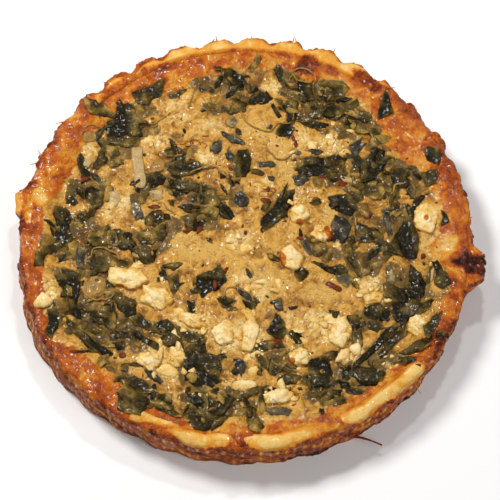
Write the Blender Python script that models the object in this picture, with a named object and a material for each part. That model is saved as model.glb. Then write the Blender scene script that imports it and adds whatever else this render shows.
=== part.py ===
"""Spinach quiche: a fluted pastry shell filled with baked egg custard.

Cheese, spinach leaves and onion lie half sunk in pockets of the custard.
The origin is the centre of the base, +Z is up and +Y points to the far side.
Lengths are in metres, except in the topping lists, which are in millimetres.
"""
import math

import bmesh
import bpy
from mathutils import Matrix, Vector, noise

MM = 0.001
GAP = 0.3 * MM                 # clearance between neighbouring pieces

# Pastry shell
RIM_RADIUS = 139.5 * MM        # outer radius at the crest of a flute
RIM_HEIGHT = 29.5 * MM
RIM_WAVE = 0.8 * MM            # how far the rim strays from an even height and radius
LIP_WIDTH = 10.5 * MM          # from the outer edge to the custard
LIP_ROUNDING = 3.0 * MM
BASE_THICKNESS = 4.0 * MM
BASE_ROUNDING = 2.0 * MM
INNER_TAPER = 4.5 * MM         # the inner wall is this much narrower at the base
FLUTE_COUNT = 36
FLUTE_DEPTH = 3.7 * MM
FLUTE_SHARPNESS = 4.0          # a higher power makes the valleys narrower
FIRST_CREST = 88.0             # degrees from +X
COLUMNS_PER_FLUTE = 5

# Slumped and boiled-over stretches: angle, half width in degrees, reach outwards
SIDE_SLUMP = (204.0, 42.0, 4.5 * MM)
RIM_LUGS = [(171.5, 5.0, 6.5 * MM), (-9.0, 7.0, 8.5 * MM)]
LUG_BLUNTNESS = 1.8            # above 1, a lug ends in a flat edge
# Custard that climbed on to the lip: angle, half width in degrees, rise
OVERFLOWS = [(226.0, 20.0, 3.0 * MM), (5.0, 45.0, 1.5 * MM), (160.0, 30.0, 1.2 * MM)]

# Custard
CUSTARD_LEVEL = 25.8 * MM
CUSTARD_RELIEF = 1.3 * MM
RELIEF_SIZE = 26.0 * MM
CUSTARD_COLUMNS = 60
CUSTARD_RINGS = [0.92, 0.82, 0.69, 0.54, 0.38, 0.20]
OVERFLOW_START = 104.0 * MM

# Leaves are crumpled slabs, cheese pieces are rough blocks
LEAF_THICKNESS = 2.0 * MM
LEAF_SINK = 1.2 * MM
LEAF_CRUMPLE = 0.9 * MM
LEAF_CELLS = (4, 2)
LEAF_TIP_WIDTH = 0.45
CLEARANCE_BELOW = 2.0          # a pocket's floor stays this many gaps below its leaf
BLOCK_POWER = 3.2              # 2 is an ellipsoid, higher is squarer
BLOCK_ROUGHNESS = 0.16
POCKET_HEADROOM = 9.0 * MM     # pockets stay open above the piece that lies in them
SLICE_SIDES = 12

# x, y, length, width, direction in degrees, height above the custard
CHEESE = [
    (-72, -29, 26, 15, -8, 5.0),
    (-53, -42, 22, 15, -12, 6.0),
    (28, -16, 17, 15, -60, 5.0),
    (34, 14, 14, 12, 50, 5.0),
    (47, 1, 12, 11, -20, 4.5),
    (112, 12, 23, 16, 80, 5.0),
    (-120, -40, 20, 12, 105, 3.0),
    (-57, -83, 15, 11, -20, 4.0),
    (-41, -80, 13, 12, 60, 4.0),
    (-32, -57, 20, 9, -22, 4.0),
    (-13, -66, 13, 14, 30, 4.5),
    (3, -66, 24, 10, 80, 4.0),
    (33, -80, 13, 12, 20, 4.5),
    (20, -105, 19, 9, 14, 5.0),
    (57, -64, 20, 14, 70, 4.5),
    (103, -60, 14, 11, 65, 4.5),
    (78, -42, 14, 9, 20, 3.5),
]

# x, y, length, width, direction in degrees
LEAVES = [
    (-96, 86, 18, 10, -8),
    (-78, 77, 26, 16, 95),
    (-62, 99, 20, 10, 30),
    (-6, 109, 14, 11, 110),
    (8, 96, 16, 8, 5),
    (38, 103, 12, 9, 90),
    (56, 100, 19, 11, 0),
    (28, 83, 17, 8, 100),
    (70, 77, 20, 9, -30),
    (46, 46, 31, 11, 3),
    (79, 46, 23, 16, 80),
    (20, 19, 32, 8, 57),
    (61, 22, 15, 13, 0),
    (95, -5, 21, 14, 60),
    (-2, 49, 22, 9, 92),
    (-24, 27, 19, 9, -15),
    (-31, 8, 16, 11, -5),
    (-92, 25, 17, 12, -60),
    (-112, 5, 26, 9, 85),
    (-105, -34, 24, 8, 95),
    (-94, -68, 30, 6, -38),
    (-25, -31, 18, 15, 20),
    (-27, -88, 20, 19, 90),
    (-67, -108, 17, 14, 0),
    (-27, -119, 17, 10, -10),
    (20, -61, 15, 8, 95),
    (46, -90, 17, 12, 90),
    (103, -32, 24, 10, 90),
    (78, -71, 36, 6, 45),
    (104, -74, 20, 7, 38),
]

# x, y, length, width, direction in degrees, height above the custard
ONION_STEM = (-67, 46, 28, 6, 92, 1.8)
# x, y, length, width, direction in degrees
ONION_SLICES = [
    (-55, 47, 10, 9, 0),
    (-98, 67, 9, 8, 0),
    (-63, -12, 12, 10, 0),
    (-92, -35, 16, 15, 60),
]


def clear_scene():
    """Empty the scene, so that it holds nothing but the quiche."""
    for thing in list(bpy.data.objects):
        bpy.data.objects.remove(thing, do_unlink=True)


def material(name, colour, roughness):
    """Plain finish with one linear colour."""
    finish = bpy.data.materials.new(name)
    finish.use_nodes = True
    shader = finish.node_tree.nodes["Principled BSDF"]
    shader.inputs["Base Color"].default_value = (*colour, 1.0)
    shader.inputs["Roughness"].default_value = roughness
    shader.inputs["Metallic"].default_value = 0.0
    return finish


def add_object(name, bm, finish):
    """Turn a bmesh into a smooth shaded object with outward faces."""
    bmesh.ops.recalc_face_normals(bm, faces=bm.faces)
    mesh = bpy.data.meshes.new(name)
    bm.to_mesh(mesh)
    bm.free()
    mesh.shade_smooth()
    mesh.set_sharp_from_angle(angle=math.radians(40.0))
    mesh.materials.append(finish)
    thing = bpy.data.objects.new(name, mesh)
    bpy.context.scene.collection.objects.link(thing)
    return thing


def bump(angle, centre, half_width):
    """1 at the centre angle, falling smoothly to 0 at half_width degrees away."""
    away = abs((angle - centre + 180.0) % 360.0 - 180.0) / half_width
    return 0.5 + 0.5 * math.cos(math.pi * min(away, 1.0))


def flute(angle):
    """0 on the crest of a flute and 1 in the valley between two."""
    turn = ((angle - FIRST_CREST) * FLUTE_COUNT / 360.0) % 1.0
    return math.sin(math.pi * turn) ** FLUTE_SHARPNESS


def rim_wave(angle):
    """Slow wave of the hand-lined rim, between -1 and 1."""
    turn = math.radians(angle)
    return 0.6 * math.sin(2.0 * turn + 0.8) + 0.4 * math.sin(5.0 * turn + 2.0)


def rim_radius(angle):
    """Outer radius of the rim, with its flutes and lugs."""
    radius = RIM_RADIUS - FLUTE_DEPTH * flute(angle) + RIM_WAVE * rim_wave(angle)
    for centre, half_width, reach in RIM_LUGS:
        radius += reach * min(1.0, LUG_BLUNTNESS * bump(angle, centre, half_width))
    return radius


def base_radius(angle):
    """Outer radius at the base, wider where the side has slumped."""
    centre, half_width, reach = SIDE_SLUMP
    slump = reach * bump(angle, centre, half_width)
    return RIM_RADIUS - 0.8 * FLUTE_DEPTH * flute(angle) + slump


def inner_radius():
    """Radius where the lip ends and the custard begins."""
    return RIM_RADIUS - LIP_WIDTH


def overflow(angle):
    """Rise of the custard that climbed on to the lip."""
    return sum(rise * bump(angle, centre, half_width) for centre, half_width, rise in OVERFLOWS)


def rim_height(angle):
    """Height of the rim's rounded top."""
    return RIM_HEIGHT + RIM_WAVE * rim_wave(angle + 70.0)


def shell_profile(angle):
    """Radius and height from the edge of the base, over the lip, to the inner corner."""
    rim = rim_radius(angle)
    base = base_radius(angle)
    top = rim_height(angle)
    inner = inner_radius()
    return [
        (base - BASE_ROUNDING, 0.0),
        (base, BASE_ROUNDING),
        (rim, top - 2.0 * LIP_ROUNDING),
        (rim - 0.3 * LIP_ROUNDING, top - 0.8 * LIP_ROUNDING),
        (rim - 1.2 * LIP_ROUNDING, top),
        (inner + 0.3 * LIP_ROUNDING, top - 0.3 * LIP_ROUNDING),
        (inner, CUSTARD_LEVEL + 0.2 * LIP_ROUNDING + overflow(angle)),
        (inner - INNER_TAPER, BASE_THICKNESS),
    ]


def revolve(profile_at, columns, first_angle, bottom_height, top_height):
    """Closed body from a profile that changes with the angle, capped by two fans."""
    bm = bmesh.new()
    rings = []
    for column in range(columns):
        angle = first_angle + 360.0 * column / columns
        turn = math.radians(angle)
        ring = []
        for radius, height in profile_at(angle):
            ring.append(bm.verts.new((radius * math.cos(turn), radius * math.sin(turn), height)))
        rings.append(ring)
    bottom = bm.verts.new((0.0, 0.0, bottom_height))
    top = bm.verts.new((0.0, 0.0, top_height))
    for column in range(columns):
        here = rings[column]
        after = rings[(column + 1) % columns]
        bm.faces.new((bottom, after[0], here[0]))
        for level in range(len(here) - 1):
            bm.faces.new((here[level], after[level], after[level + 1], here[level + 1]))
        bm.faces.new((here[-1], after[-1], top))
    return bm


def make_shell(finish):
    """Fluted pastry dish with a flat base and a rounded lip."""
    columns = FLUTE_COUNT * COLUMNS_PER_FLUTE
    valley = FIRST_CREST - 180.0 / FLUTE_COUNT
    bm = revolve(shell_profile, columns, valley, 0.0, BASE_THICKNESS)
    return add_object("pastry_shell", bm, finish)


def custard_height(x, y):
    """Height of the baked surface, with its slow lumps and its overflows."""
    relief = noise.noise(Vector((x, y, 0.0)) / RELIEF_SIZE)
    outwards = (math.hypot(x, y) - OVERFLOW_START) / (inner_radius() - OVERFLOW_START)
    climb = max(0.0, min(outwards, 1.0)) ** 2
    angle = math.degrees(math.atan2(y, x))
    return CUSTARD_LEVEL + CUSTARD_RELIEF * relief + climb * overflow(angle)


def resting_height(x, y):
    """Height of what a topping lies on: the custard, or the lip further out."""
    radius = math.hypot(x, y)
    angle = math.degrees(math.atan2(y, x))
    onto_lip = (radius - inner_radius() + LIP_ROUNDING) / (2.0 * LIP_ROUNDING)
    share = max(0.0, min(onto_lip, 1.0))
    return (1.0 - share) * custard_height(x, y) + share * rim_height(angle)


def custard_profile(angle):
    """Radius and height from the underside's edge, up the side and over the top."""
    turn = math.radians(angle)
    edge = inner_radius() - GAP
    points = [(edge - INNER_TAPER, BASE_THICKNESS + GAP)]
    for share in [1.0] + CUSTARD_RINGS:
        radius = share * edge
        height = custard_height(radius * math.cos(turn), radius * math.sin(turn))
        points.append((radius, height))
    return points


def make_custard(finish):
    """Baked custard that fills the shell, before the pockets are cut."""
    bm = revolve(custard_profile, CUSTARD_COLUMNS, 0.0, BASE_THICKNESS + GAP, custard_height(0.0, 0.0))
    return add_object("custard_filling", bm, finish)


def hull(points):
    """Closed convex mesh round some points."""
    bm = bmesh.new()
    for point in points:
        bm.verts.new(point)
    found = bmesh.ops.convex_hull(bm, input=bm.verts)
    loose = [v for v in set(found["geom_interior"] + found["geom_unused"]) if isinstance(v, bmesh.types.BMVert)]
    bmesh.ops.delete(bm, geom=loose, context="VERTS")
    return bm


def place(x, y, direction, height):
    """Matrix that turns a topping to its direction and puts it at its height."""
    turn = Matrix.Rotation(math.radians(direction), 4, "Z")
    return Matrix.Translation((x, y, height)) @ turn


def block_points(block, seed, grow=0.0):
    """Corners of a rough block of cheese or onion, centred in the custard's surface."""
    x, y, length, width, direction, height = block
    half = Vector((0.5 * length, 0.5 * width, height)) * MM
    frame = place(x * MM, y * MM, direction, resting_height(x * MM, y * MM))
    sphere = bmesh.new()
    bmesh.ops.create_icosphere(sphere, subdivisions=1, radius=1.0)
    points = []
    for vert in sphere.verts:
        way = vert.co.normalized()
        boxy = sum(abs(part) ** BLOCK_POWER for part in way) ** (-1.0 / BLOCK_POWER)
        rough = 1.0 + BLOCK_ROUGHNESS * noise.noise(2.0 * way + Vector((7.0 * seed, 0.0, 0.0)))
        reach = boxy * rough
        size = half + Vector((grow, grow, grow))
        points.append(frame @ Vector([reach * part * extent for part, extent in zip(way, size)]))
    sphere.free()
    return points


def slice_points(onion, grow=0.0):
    """Corners of a round slice of onion: a low crowned disc."""
    x, y, length, width, direction = onion
    frame = place(x * MM, y * MM, direction, resting_height(x * MM, y * MM))
    points = []
    levels = ((1.0, -LEAF_SINK - grow), (1.0, 0.4 * LEAF_SINK), (0.8, LEAF_SINK + grow))
    for share, height in levels:
        for side in range(SLICE_SIDES):
            turn = 2.0 * math.pi * side / SLICE_SIDES
            across = share * (0.5 * length * MM + grow) * math.cos(turn)
            along = share * (0.5 * width * MM + grow) * math.sin(turn)
            points.append(frame @ Vector((across, along, height)))
    return points


def leaf_width(share):
    """Width of a leaf along its length, as a share of the widest part."""
    return max(LEAF_TIP_WIDTH, math.sqrt(1.0 - 0.8 * share * share))


def leaf_mesh(leaf, seed, grow=0.0, headroom=0.0):
    """Crumpled slab that follows the surface below it."""
    x, y, length, width, direction = leaf
    frame = place(x * MM, y * MM, direction, 0.0)
    cells_long, cells_wide = LEAF_CELLS
    bm = bmesh.new()
    sheets = []
    for underside in (True, False):
        rows = []
        for i in range(cells_long + 1):
            u = 2.0 * i / cells_long - 1.0
            row = []
            for j in range(cells_wide + 1):
                v = 2.0 * j / cells_wide - 1.0
                along = u * (0.5 * length * MM + grow)
                across = v * (0.5 * width * MM * leaf_width(u) + grow)
                spot = frame @ Vector((along, across, 0.0))
                fold = LEAF_CRUMPLE * math.sin(3.0 * u + 2.2 * v + seed) - LEAF_SINK
                height = resting_height(spot.x, spot.y) + fold
                height += -CLEARANCE_BELOW * grow if underside else LEAF_THICKNESS + headroom
                row.append(bm.verts.new((spot.x, spot.y, height)))
            rows.append(row)
        sheets.append(rows)
    join_sheets(bm, *sheets)
    return bm


def join_sheets(bm, lower, upper):
    """Triangles of two matching grids of vertices, and quads round the edge between them."""
    for rows in (lower, upper):
        for i in range(len(rows) - 1):
            for j in range(len(rows[0]) - 1):
                near, side, far, back = rows[i][j], rows[i + 1][j], rows[i + 1][j + 1], rows[i][j + 1]
                bm.faces.new((near, side, far))
                bm.faces.new((near, far, back))
    last_row = len(lower) - 1
    last = len(lower[0]) - 1
    border = [(i, 0) for i in range(last_row)] + [(last_row, j) for j in range(last)]
    border += [(i, last) for i in range(last_row, 0, -1)] + [(0, j) for j in range(last, 0, -1)]
    for here, after in zip(border, border[1:] + border[:1]):
        corners = [rows[i][j] for rows, (i, j) in ((lower, here), (lower, after), (upper, after), (upper, here))]
        bm.faces.new(corners)


def raised(points):
    """Points with a copy above them, which keeps a pocket open at the top."""
    lift = Vector((0.0, 0.0, POCKET_HEADROOM))
    return points + [point + lift for point in points]


def cut_pocket(body, bm, name):
    """Subtract a hidden cutter from a body."""
    cutter = add_object("pocket_" + name, bm, None)
    cutter.hide_render = True
    cutter.display_type = "WIRE"
    boolean = body.modifiers.new("pocket_" + name, "BOOLEAN")
    boolean.operation = "DIFFERENCE"
    boolean.solver = "EXACT"
    boolean.object = cutter


def touched_bodies(spot, shell, custard):
    """The bodies that a topping is sunk into."""
    x, y, length = spot[:3]
    reach = math.hypot(x, y) * MM + 0.5 * length * MM
    return [custard, shell] if reach > inner_radius() - LIP_ROUNDING else [custard]


def make_blocks(label, blocks, finish, shell, custard):
    """Rough blocks, each in its own pocket."""
    for number, block in enumerate(blocks, start=1):
        name = f"{label}_{number:02d}"
        add_object(name, hull(block_points(block, number)), finish)
        for body in touched_bodies(block, shell, custard):
            pocket = hull(raised(block_points(block, number, grow=GAP)))
            cut_pocket(body, pocket, name)


def make_slices(finish, shell, custard):
    """Round onion slices, each in its own pocket."""
    for number, onion in enumerate(ONION_SLICES, start=1):
        name = f"onion_slice_{number:02d}"
        add_object(name, hull(slice_points(onion)), finish)
        for body in touched_bodies(onion, shell, custard):
            cut_pocket(body, hull(raised(slice_points(onion, grow=GAP))), name)


def make_leaves(finish, shell, custard):
    """Spinach leaves, each in its own pocket."""
    for number, leaf in enumerate(LEAVES, start=1):
        name = f"spinach_leaf_{number:02d}"
        add_object(name, leaf_mesh(leaf, number), finish)
        for body in touched_bodies(leaf, shell, custard):
            pocket = leaf_mesh(leaf, number, grow=GAP, headroom=POCKET_HEADROOM)
            cut_pocket(body, pocket, name)


def build_quiche():
    """Make every piece of the quiche."""
    clear_scene()
    crust = material("baked_pastry", (0.58, 0.25, 0.055), 0.6)
    custard_finish = material("baked_custard", (0.56, 0.34, 0.11), 0.42)
    cheese_finish = material("white_cheese", (0.74, 0.56, 0.27), 0.55)
    leaf_finish = material("cooked_spinach", (0.055, 0.045, 0.016), 0.38)
    onion_finish = material("fried_onion", (0.36, 0.21, 0.07), 0.35)
    shell = make_shell(crust)
    custard = make_custard(custard_finish)
    make_blocks("cheese", CHEESE, cheese_finish, shell, custard)
    make_blocks("onion_stem", [ONION_STEM], onion_finish, shell, custard)
    make_slices(onion_finish, shell, custard)
    make_leaves(leaf_finish, shell, custard)


build_quiche()
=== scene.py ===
"""Spinach quiche in a fluted pastry shell, baked out of true and boiled over in places.

Each operator makes one piece, or one group of like pieces, round the fixed model.
Lengths in the shape functions are millimetres, and meshes are written in metres.
"""

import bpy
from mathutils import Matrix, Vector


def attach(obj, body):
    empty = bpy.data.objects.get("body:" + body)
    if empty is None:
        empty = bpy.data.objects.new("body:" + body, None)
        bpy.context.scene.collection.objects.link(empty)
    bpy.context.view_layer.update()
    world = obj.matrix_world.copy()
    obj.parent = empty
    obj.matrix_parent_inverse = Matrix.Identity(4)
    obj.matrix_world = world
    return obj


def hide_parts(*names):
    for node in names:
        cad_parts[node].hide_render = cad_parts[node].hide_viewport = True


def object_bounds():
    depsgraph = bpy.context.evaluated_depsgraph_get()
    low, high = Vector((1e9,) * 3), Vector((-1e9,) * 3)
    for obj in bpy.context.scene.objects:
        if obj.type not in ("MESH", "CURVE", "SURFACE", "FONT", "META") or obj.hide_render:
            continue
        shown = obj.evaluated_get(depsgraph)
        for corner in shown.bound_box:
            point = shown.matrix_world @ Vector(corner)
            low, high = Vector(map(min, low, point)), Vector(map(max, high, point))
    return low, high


bl_info = {
    "name": "Spinach quiche",
    "version": (1, 0, 0),
    "blender": (4, 5, 0),
    "location": "View3D > Sidebar > Quiche",
    "description": "Baked custard, fluted crust, spinach, cheese and onion round a fixed model",
    "category": "Add Mesh",
}

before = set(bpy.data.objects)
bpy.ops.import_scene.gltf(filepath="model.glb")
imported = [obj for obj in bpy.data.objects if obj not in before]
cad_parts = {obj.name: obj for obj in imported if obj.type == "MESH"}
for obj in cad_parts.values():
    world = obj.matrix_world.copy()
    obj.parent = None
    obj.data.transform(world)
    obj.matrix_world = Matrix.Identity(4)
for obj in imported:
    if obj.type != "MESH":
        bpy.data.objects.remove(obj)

import math

import bmesh
import bpy
import numpy as np
from mathutils import Vector, noise
from mathutils.bvhtree import BVHTree

CAD_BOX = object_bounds()
MM = 0.001
BODY = "root"

# The shell's shape, as the fixed model has it
RIM_CREST = 139.5
RIM_TOP = 29.5
RIM_WAVE = 0.8
LIP_WIDTH = 10.5
LIP_ROUNDING = 3.0
BASE_ROUNDING = 2.0
INNER_TAPER = 4.5
FLUTES = 36
FLUTE_DEPTH = 3.7
FLUTE_SHARPNESS = 4.0
FIRST_CREST = 88.0
# Where the side slumped, and where egg left lugs on the rim: centre and half width in degrees, reach
SIDE_SLUMP = (204.0, 42.0, 4.5)
RIM_LUGS = [(171.5, 5.0, 6.5), (-9.0, 7.0, 8.5)]
LUG_BLUNTNESS = 1.8
CUSTARD_LEVEL = 25.8
CUSTARD_RELIEF = 1.3
RELIEF_SIZE = 26.0
INNER = RIM_CREST - LIP_WIDTH

# The filling rises a little toward the shell, and climbs over the lip where it boiled over
EDGE_RISE = 2.1
RISE_START = 112.0
CLIMB_START = 116.0
OVERFLOW = 8.6
LIP_DROP = 1.9
# Loose toppings lie within this radius, and keep clear of the pale stalk
TOPPING_REACH = 124.0
STALK_END = (-70.0, 57.0)
STALK_MIDDLE = (-67.0, 46.0)

# Bare pastry shows on the lip between these angles; the rest is under browned egg
BARE_LIP = [(48.0, 136.0), (-61.0, -41.5), (-88.5, -71.5), (-119.0, -93.0)]
# Radius at which the browned skin begins, by angle
BROWN_INNER = [
    (0, 122), (4.3, 124), (12.6, 119.5), (17.6, 123), (24, 117), (30, 111), (37, 108), (42, 116),
    (50, 119), (60, 118), (70, 116), (80, 120), (90, 119), (100, 117), (108, 113), (115, 111), (122, 116),
    (130, 119), (140, 118), (150, 117), (160, 118), (168, 121), (175, 126), (195, 127), (205, 131),
    (211, 137), (214, 130), (220, 124), (229, 122), (234, 123), (237, 137), (241, 128), (247, 124),
    (265, 124), (278, 123), (288, 126), (300, 123), (314, 123), (325, 126), (334, 131), (337, 125),
    (341, 128), (344, 131), (349, 125), (352, 115), (356, 111), (360, 122)]

# Ways along which clean rolls of pastry stand up from the near lip, and their half width
ROLLS = [
    [(-64, -117), (-54, -119), (-46, -121), (-40, -126), (-33, -131), (-24, -133), (-13, -132)],
    [(3, -132), (13, -134), (23, -133), (33, -128), (43, -125)],
    [(60, -119), (70, -115), (80, -106), (91, -99), (102, -89)]]
ROLL_WIDTH = 4.3
ROLL_LIFT = 1.9

# Side of a table of random values, and the tables made so far
LATTICE = 256
TABLES = {}


# ---------------------------------------------------------------- noise and masks

def lattice(seed):
    """Table of random values that one noise is read from."""
    if seed not in TABLES:
        TABLES[seed] = np.random.default_rng(seed).uniform(-1.0, 1.0, (3, LATTICE, LATTICE))
    return TABLES[seed]


def between_cells(table, here, after, share):
    """Smooth value between a table's four values round a place."""
    (i, j), (p, q), (a, b) = here, after, share
    low = table[i, j] * (1.0 - a) + table[p, j] * a
    high = table[i, q] * (1.0 - a) + table[p, q] * a
    return low * (1.0 - b) + high * b


def lumps(x, y, size, seed):
    """Smooth noise between -1 and 1 with lumps about one size across."""
    table = lattice(seed)[0]
    u = np.asarray(x) / size + 1000.0
    v = np.asarray(y) / size + 1000.0
    i = np.floor(u).astype(int)
    j = np.floor(v).astype(int)
    a = u - i
    b = v - j
    a = a * a * (3.0 - 2.0 * a)
    b = b * b * (3.0 - 2.0 * b)
    i, j = i % LATTICE, j % LATTICE
    return between_cells(table, (i, j), ((i + 1) % LATTICE, (j + 1) % LATTICE), (a, b))


def rough(x, y, size, seed, octaves=3):
    """Noise with finer lumps on top of the coarse ones."""
    total = 0.0
    weight = 1.0
    for step in range(octaves):
        total = total + weight * lumps(x, y, size / 2 ** step, seed + step)
        weight *= 0.5
    return total / (2.0 - 2.0 * weight)


def creases(x, y, size, seed):
    """1 along thin lines, falling to 0 between them."""
    return 1.0 - np.minimum(1.0, np.abs(lumps(x, y, size, seed)) * 3.0)


def cells(x, y, size, seed):
    """Distances to the nearest two of some scattered points, and the nearest one's random value."""
    table = 0.5 + 0.5 * lattice(seed)
    u = np.asarray(x) / size + 1000.0
    v = np.asarray(y) / size + 1000.0
    i = np.floor(u).astype(int)
    j = np.floor(v).astype(int)
    nearest = np.full(u.shape, 9.0)
    second = np.full(u.shape, 9.0)
    value = np.zeros(u.shape)
    for di in (-1, 0, 1):
        for dj in (-1, 0, 1):
            p, q = (i + di) % LATTICE, (j + dj) % LATTICE
            away = np.hypot(i + di + table[0, p, q] - u, j + dj + table[1, p, q] - v)
            closer = away < nearest
            second = np.where(closer, nearest, np.minimum(second, away))
            value = np.where(closer, table[2, p, q], value)
            nearest = np.where(closer, away, nearest)
    return nearest, second, value


def browning(x, y):
    """0 on the pale filling and 1 on the browned skin toward the rim."""
    angle = np.degrees(np.arctan2(y, x)) % 360.0
    start = np.interp(angle, *zip(*BROWN_INNER))
    away = np.hypot(x, y) + 2.2 * lumps(x, y, 6.0, 25) + 1.2 * lumps(x, y, 2.4, 26)
    return smooth_step(start - 2.5, start + 2.5, away)


def smooth_step(low, high, value):
    """0 below low, 1 above high and smooth between them."""
    t = np.clip((value - low) / (high - low), 0.0, 1.0)
    return t * t * (3.0 - 2.0 * t)


def blob(x, y, spot, softness=0.35):
    """1 inside an ellipse (x, y, length, width, degrees), fading out round its edge."""
    cx, cy, length, width, direction = spot
    turn = math.radians(direction)
    along = (x - cx) * math.cos(turn) + (y - cy) * math.sin(turn)
    across = (y - cy) * math.cos(turn) - (x - cx) * math.sin(turn)
    away = np.hypot(along / (0.5 * length), across / (0.5 * width))
    away = away + 0.25 * lumps(x, y, 5.0, 71) + 0.12 * lumps(x, y, 1.8, 72)
    return 1.0 - smooth_step(1.0 - softness, 1.0 + softness, away)


def blobs(x, y, spots, softness=0.35):
    """The strongest of several ellipses at each place."""
    total = np.zeros(np.shape(x))
    for spot in spots:
        total = np.maximum(total, blob(x, y, spot, softness))
    return total


def bump(angle, centre, half_width):
    """1 at the centre angle, falling smoothly to 0 at half_width degrees away."""
    away = np.abs((angle - centre + 180.0) % 360.0 - 180.0) / half_width
    return 0.5 + 0.5 * np.cos(np.pi * np.minimum(away, 1.0))


def between(angle, start, end, softness):
    """1 between two angles and 0 outside them."""
    half = 0.5 * (end - start)
    away = np.abs((angle - 0.5 * (start + end) + 180.0) % 360.0 - 180.0)
    return 1.0 - smooth_step(half - softness, half + softness, away)


# ---------------------------------------------------------------- shape of the shell

def flute(angle):
    """0 on the crest of a flute and 1 in the valley between two."""
    turn = ((angle - FIRST_CREST) * FLUTES / 360.0) % 1.0
    return np.sin(np.pi * turn) ** FLUTE_SHARPNESS


def rim_wave(angle):
    """Slow wave of the hand-lined rim, between -1 and 1."""
    turn = np.radians(angle)
    return 0.6 * np.sin(2.0 * turn + 0.8) + 0.4 * np.sin(5.0 * turn + 2.0)


def rim_radius(angle):
    """Outer radius of the rim, with its flutes and lugs."""
    radius = RIM_CREST - FLUTE_DEPTH * flute(angle) + RIM_WAVE * rim_wave(angle)
    for centre, half_width, reach in RIM_LUGS:
        radius = radius + reach * np.minimum(1.0, LUG_BLUNTNESS * bump(angle, centre, half_width))
    return radius


def base_radius(angle):
    """Outer radius at the base, wider where the side has slumped."""
    centre, half_width, reach = SIDE_SLUMP
    return RIM_CREST - 0.8 * FLUTE_DEPTH * flute(angle) + reach * bump(angle, centre, half_width)


def rim_height(angle):
    """Height of the rim's rounded top."""
    return RIM_TOP + RIM_WAVE * rim_wave(angle + 70.0)


def bare_lip(angle, x, y):
    """Share of the lip at an angle that is clean pastry."""
    wander = angle + 2.0 * lumps(x, y, 9.0, 21)
    return sum(between(wander, start, end, 2.0) for start, end in BARE_LIP)


def overflow_reach(angle, x, y):
    """How far past the lip's inner edge the custard goes."""
    reach = OVERFLOW * (1.0 - np.clip(bare_lip(angle, x, y), 0.0, 1.0))
    return 0.6 + np.minimum(reach, 8.0) + 0.9 * lumps(x, y, 8.0, 23) + 0.5 * lumps(x, y, 3.0, 24)


def lip_height(radius, angle):
    """Height of the lip's surface between the custard and the outer rounding."""
    rim = shell_radius(angle)
    inward = np.clip((radius - INNER) / 3.2, 0.0, 1.0)
    outward = np.clip((radius - (rim - LIP_ROUNDING)) / LIP_ROUNDING, 0.0, 1.0)
    top = rim_height(angle)
    return top - LIP_DROP * (1.0 - inward) ** 2 - LIP_ROUNDING * (1.0 - np.sqrt(1.0 - outward ** 2))


# ---------------------------------------------------------------- shape of the custard

# Smooth pools of custard, creamy places over cheese, and places shaded by leaf under the skin:
# x, y, length, width, direction
POOLS = [
    (-24, -11, 40, 13, 5), (16, -30, 24, 14, -35), (21, 56, 11, 30, 12), (44, -39, 22, 12, 0),
    (10, 72, 26, 12, -20), (52, 14, 14, 10, 60), (26, 42, 12, 24, 10), (-42, -5, 18, 12, 0)]
CREAMY = [
    (-32, -58, 26, 15, -20), (-12, -66, 18, 22, 30), (3, -64, 16, 34, 80), (-46, -84, 30, 22, -40),
    (34, -60, 22, 20, 0), (46, -60, 20, 20, 40), (57, 66, 20, 24, 90), (-22, 51, 20, 14, 0),
    (-57, 67, 18, 16, 0), (17, 105, 16, 9, -10), (-98, 57, 8, 16, 80), (77, -34, 16, 18, 20),
    (63, -80, 14, 10, 20), (-120, -40, 18, 24, 15), (-2, -6, 20, 12, -35), (4, -33, 24, 12, -30),
    (34, 28, 16, 16, 0), (12, 33, 14, 12, 0), (-78, 20, 18, 14, 30), (-44, 86, 14, 20, 60),
    (36, 64, 12, 12, 0), (-16, 76, 26, 12, 0), (-62, 12, 10, 8, 0), (84, -84, 12, 16, 60),
    (-7, -98, 16, 12, 0), (-37, -106, 10, 10, 0), (60, -8, 10, 10, 0), (116, -6, 20, 14, 30)]
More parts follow.
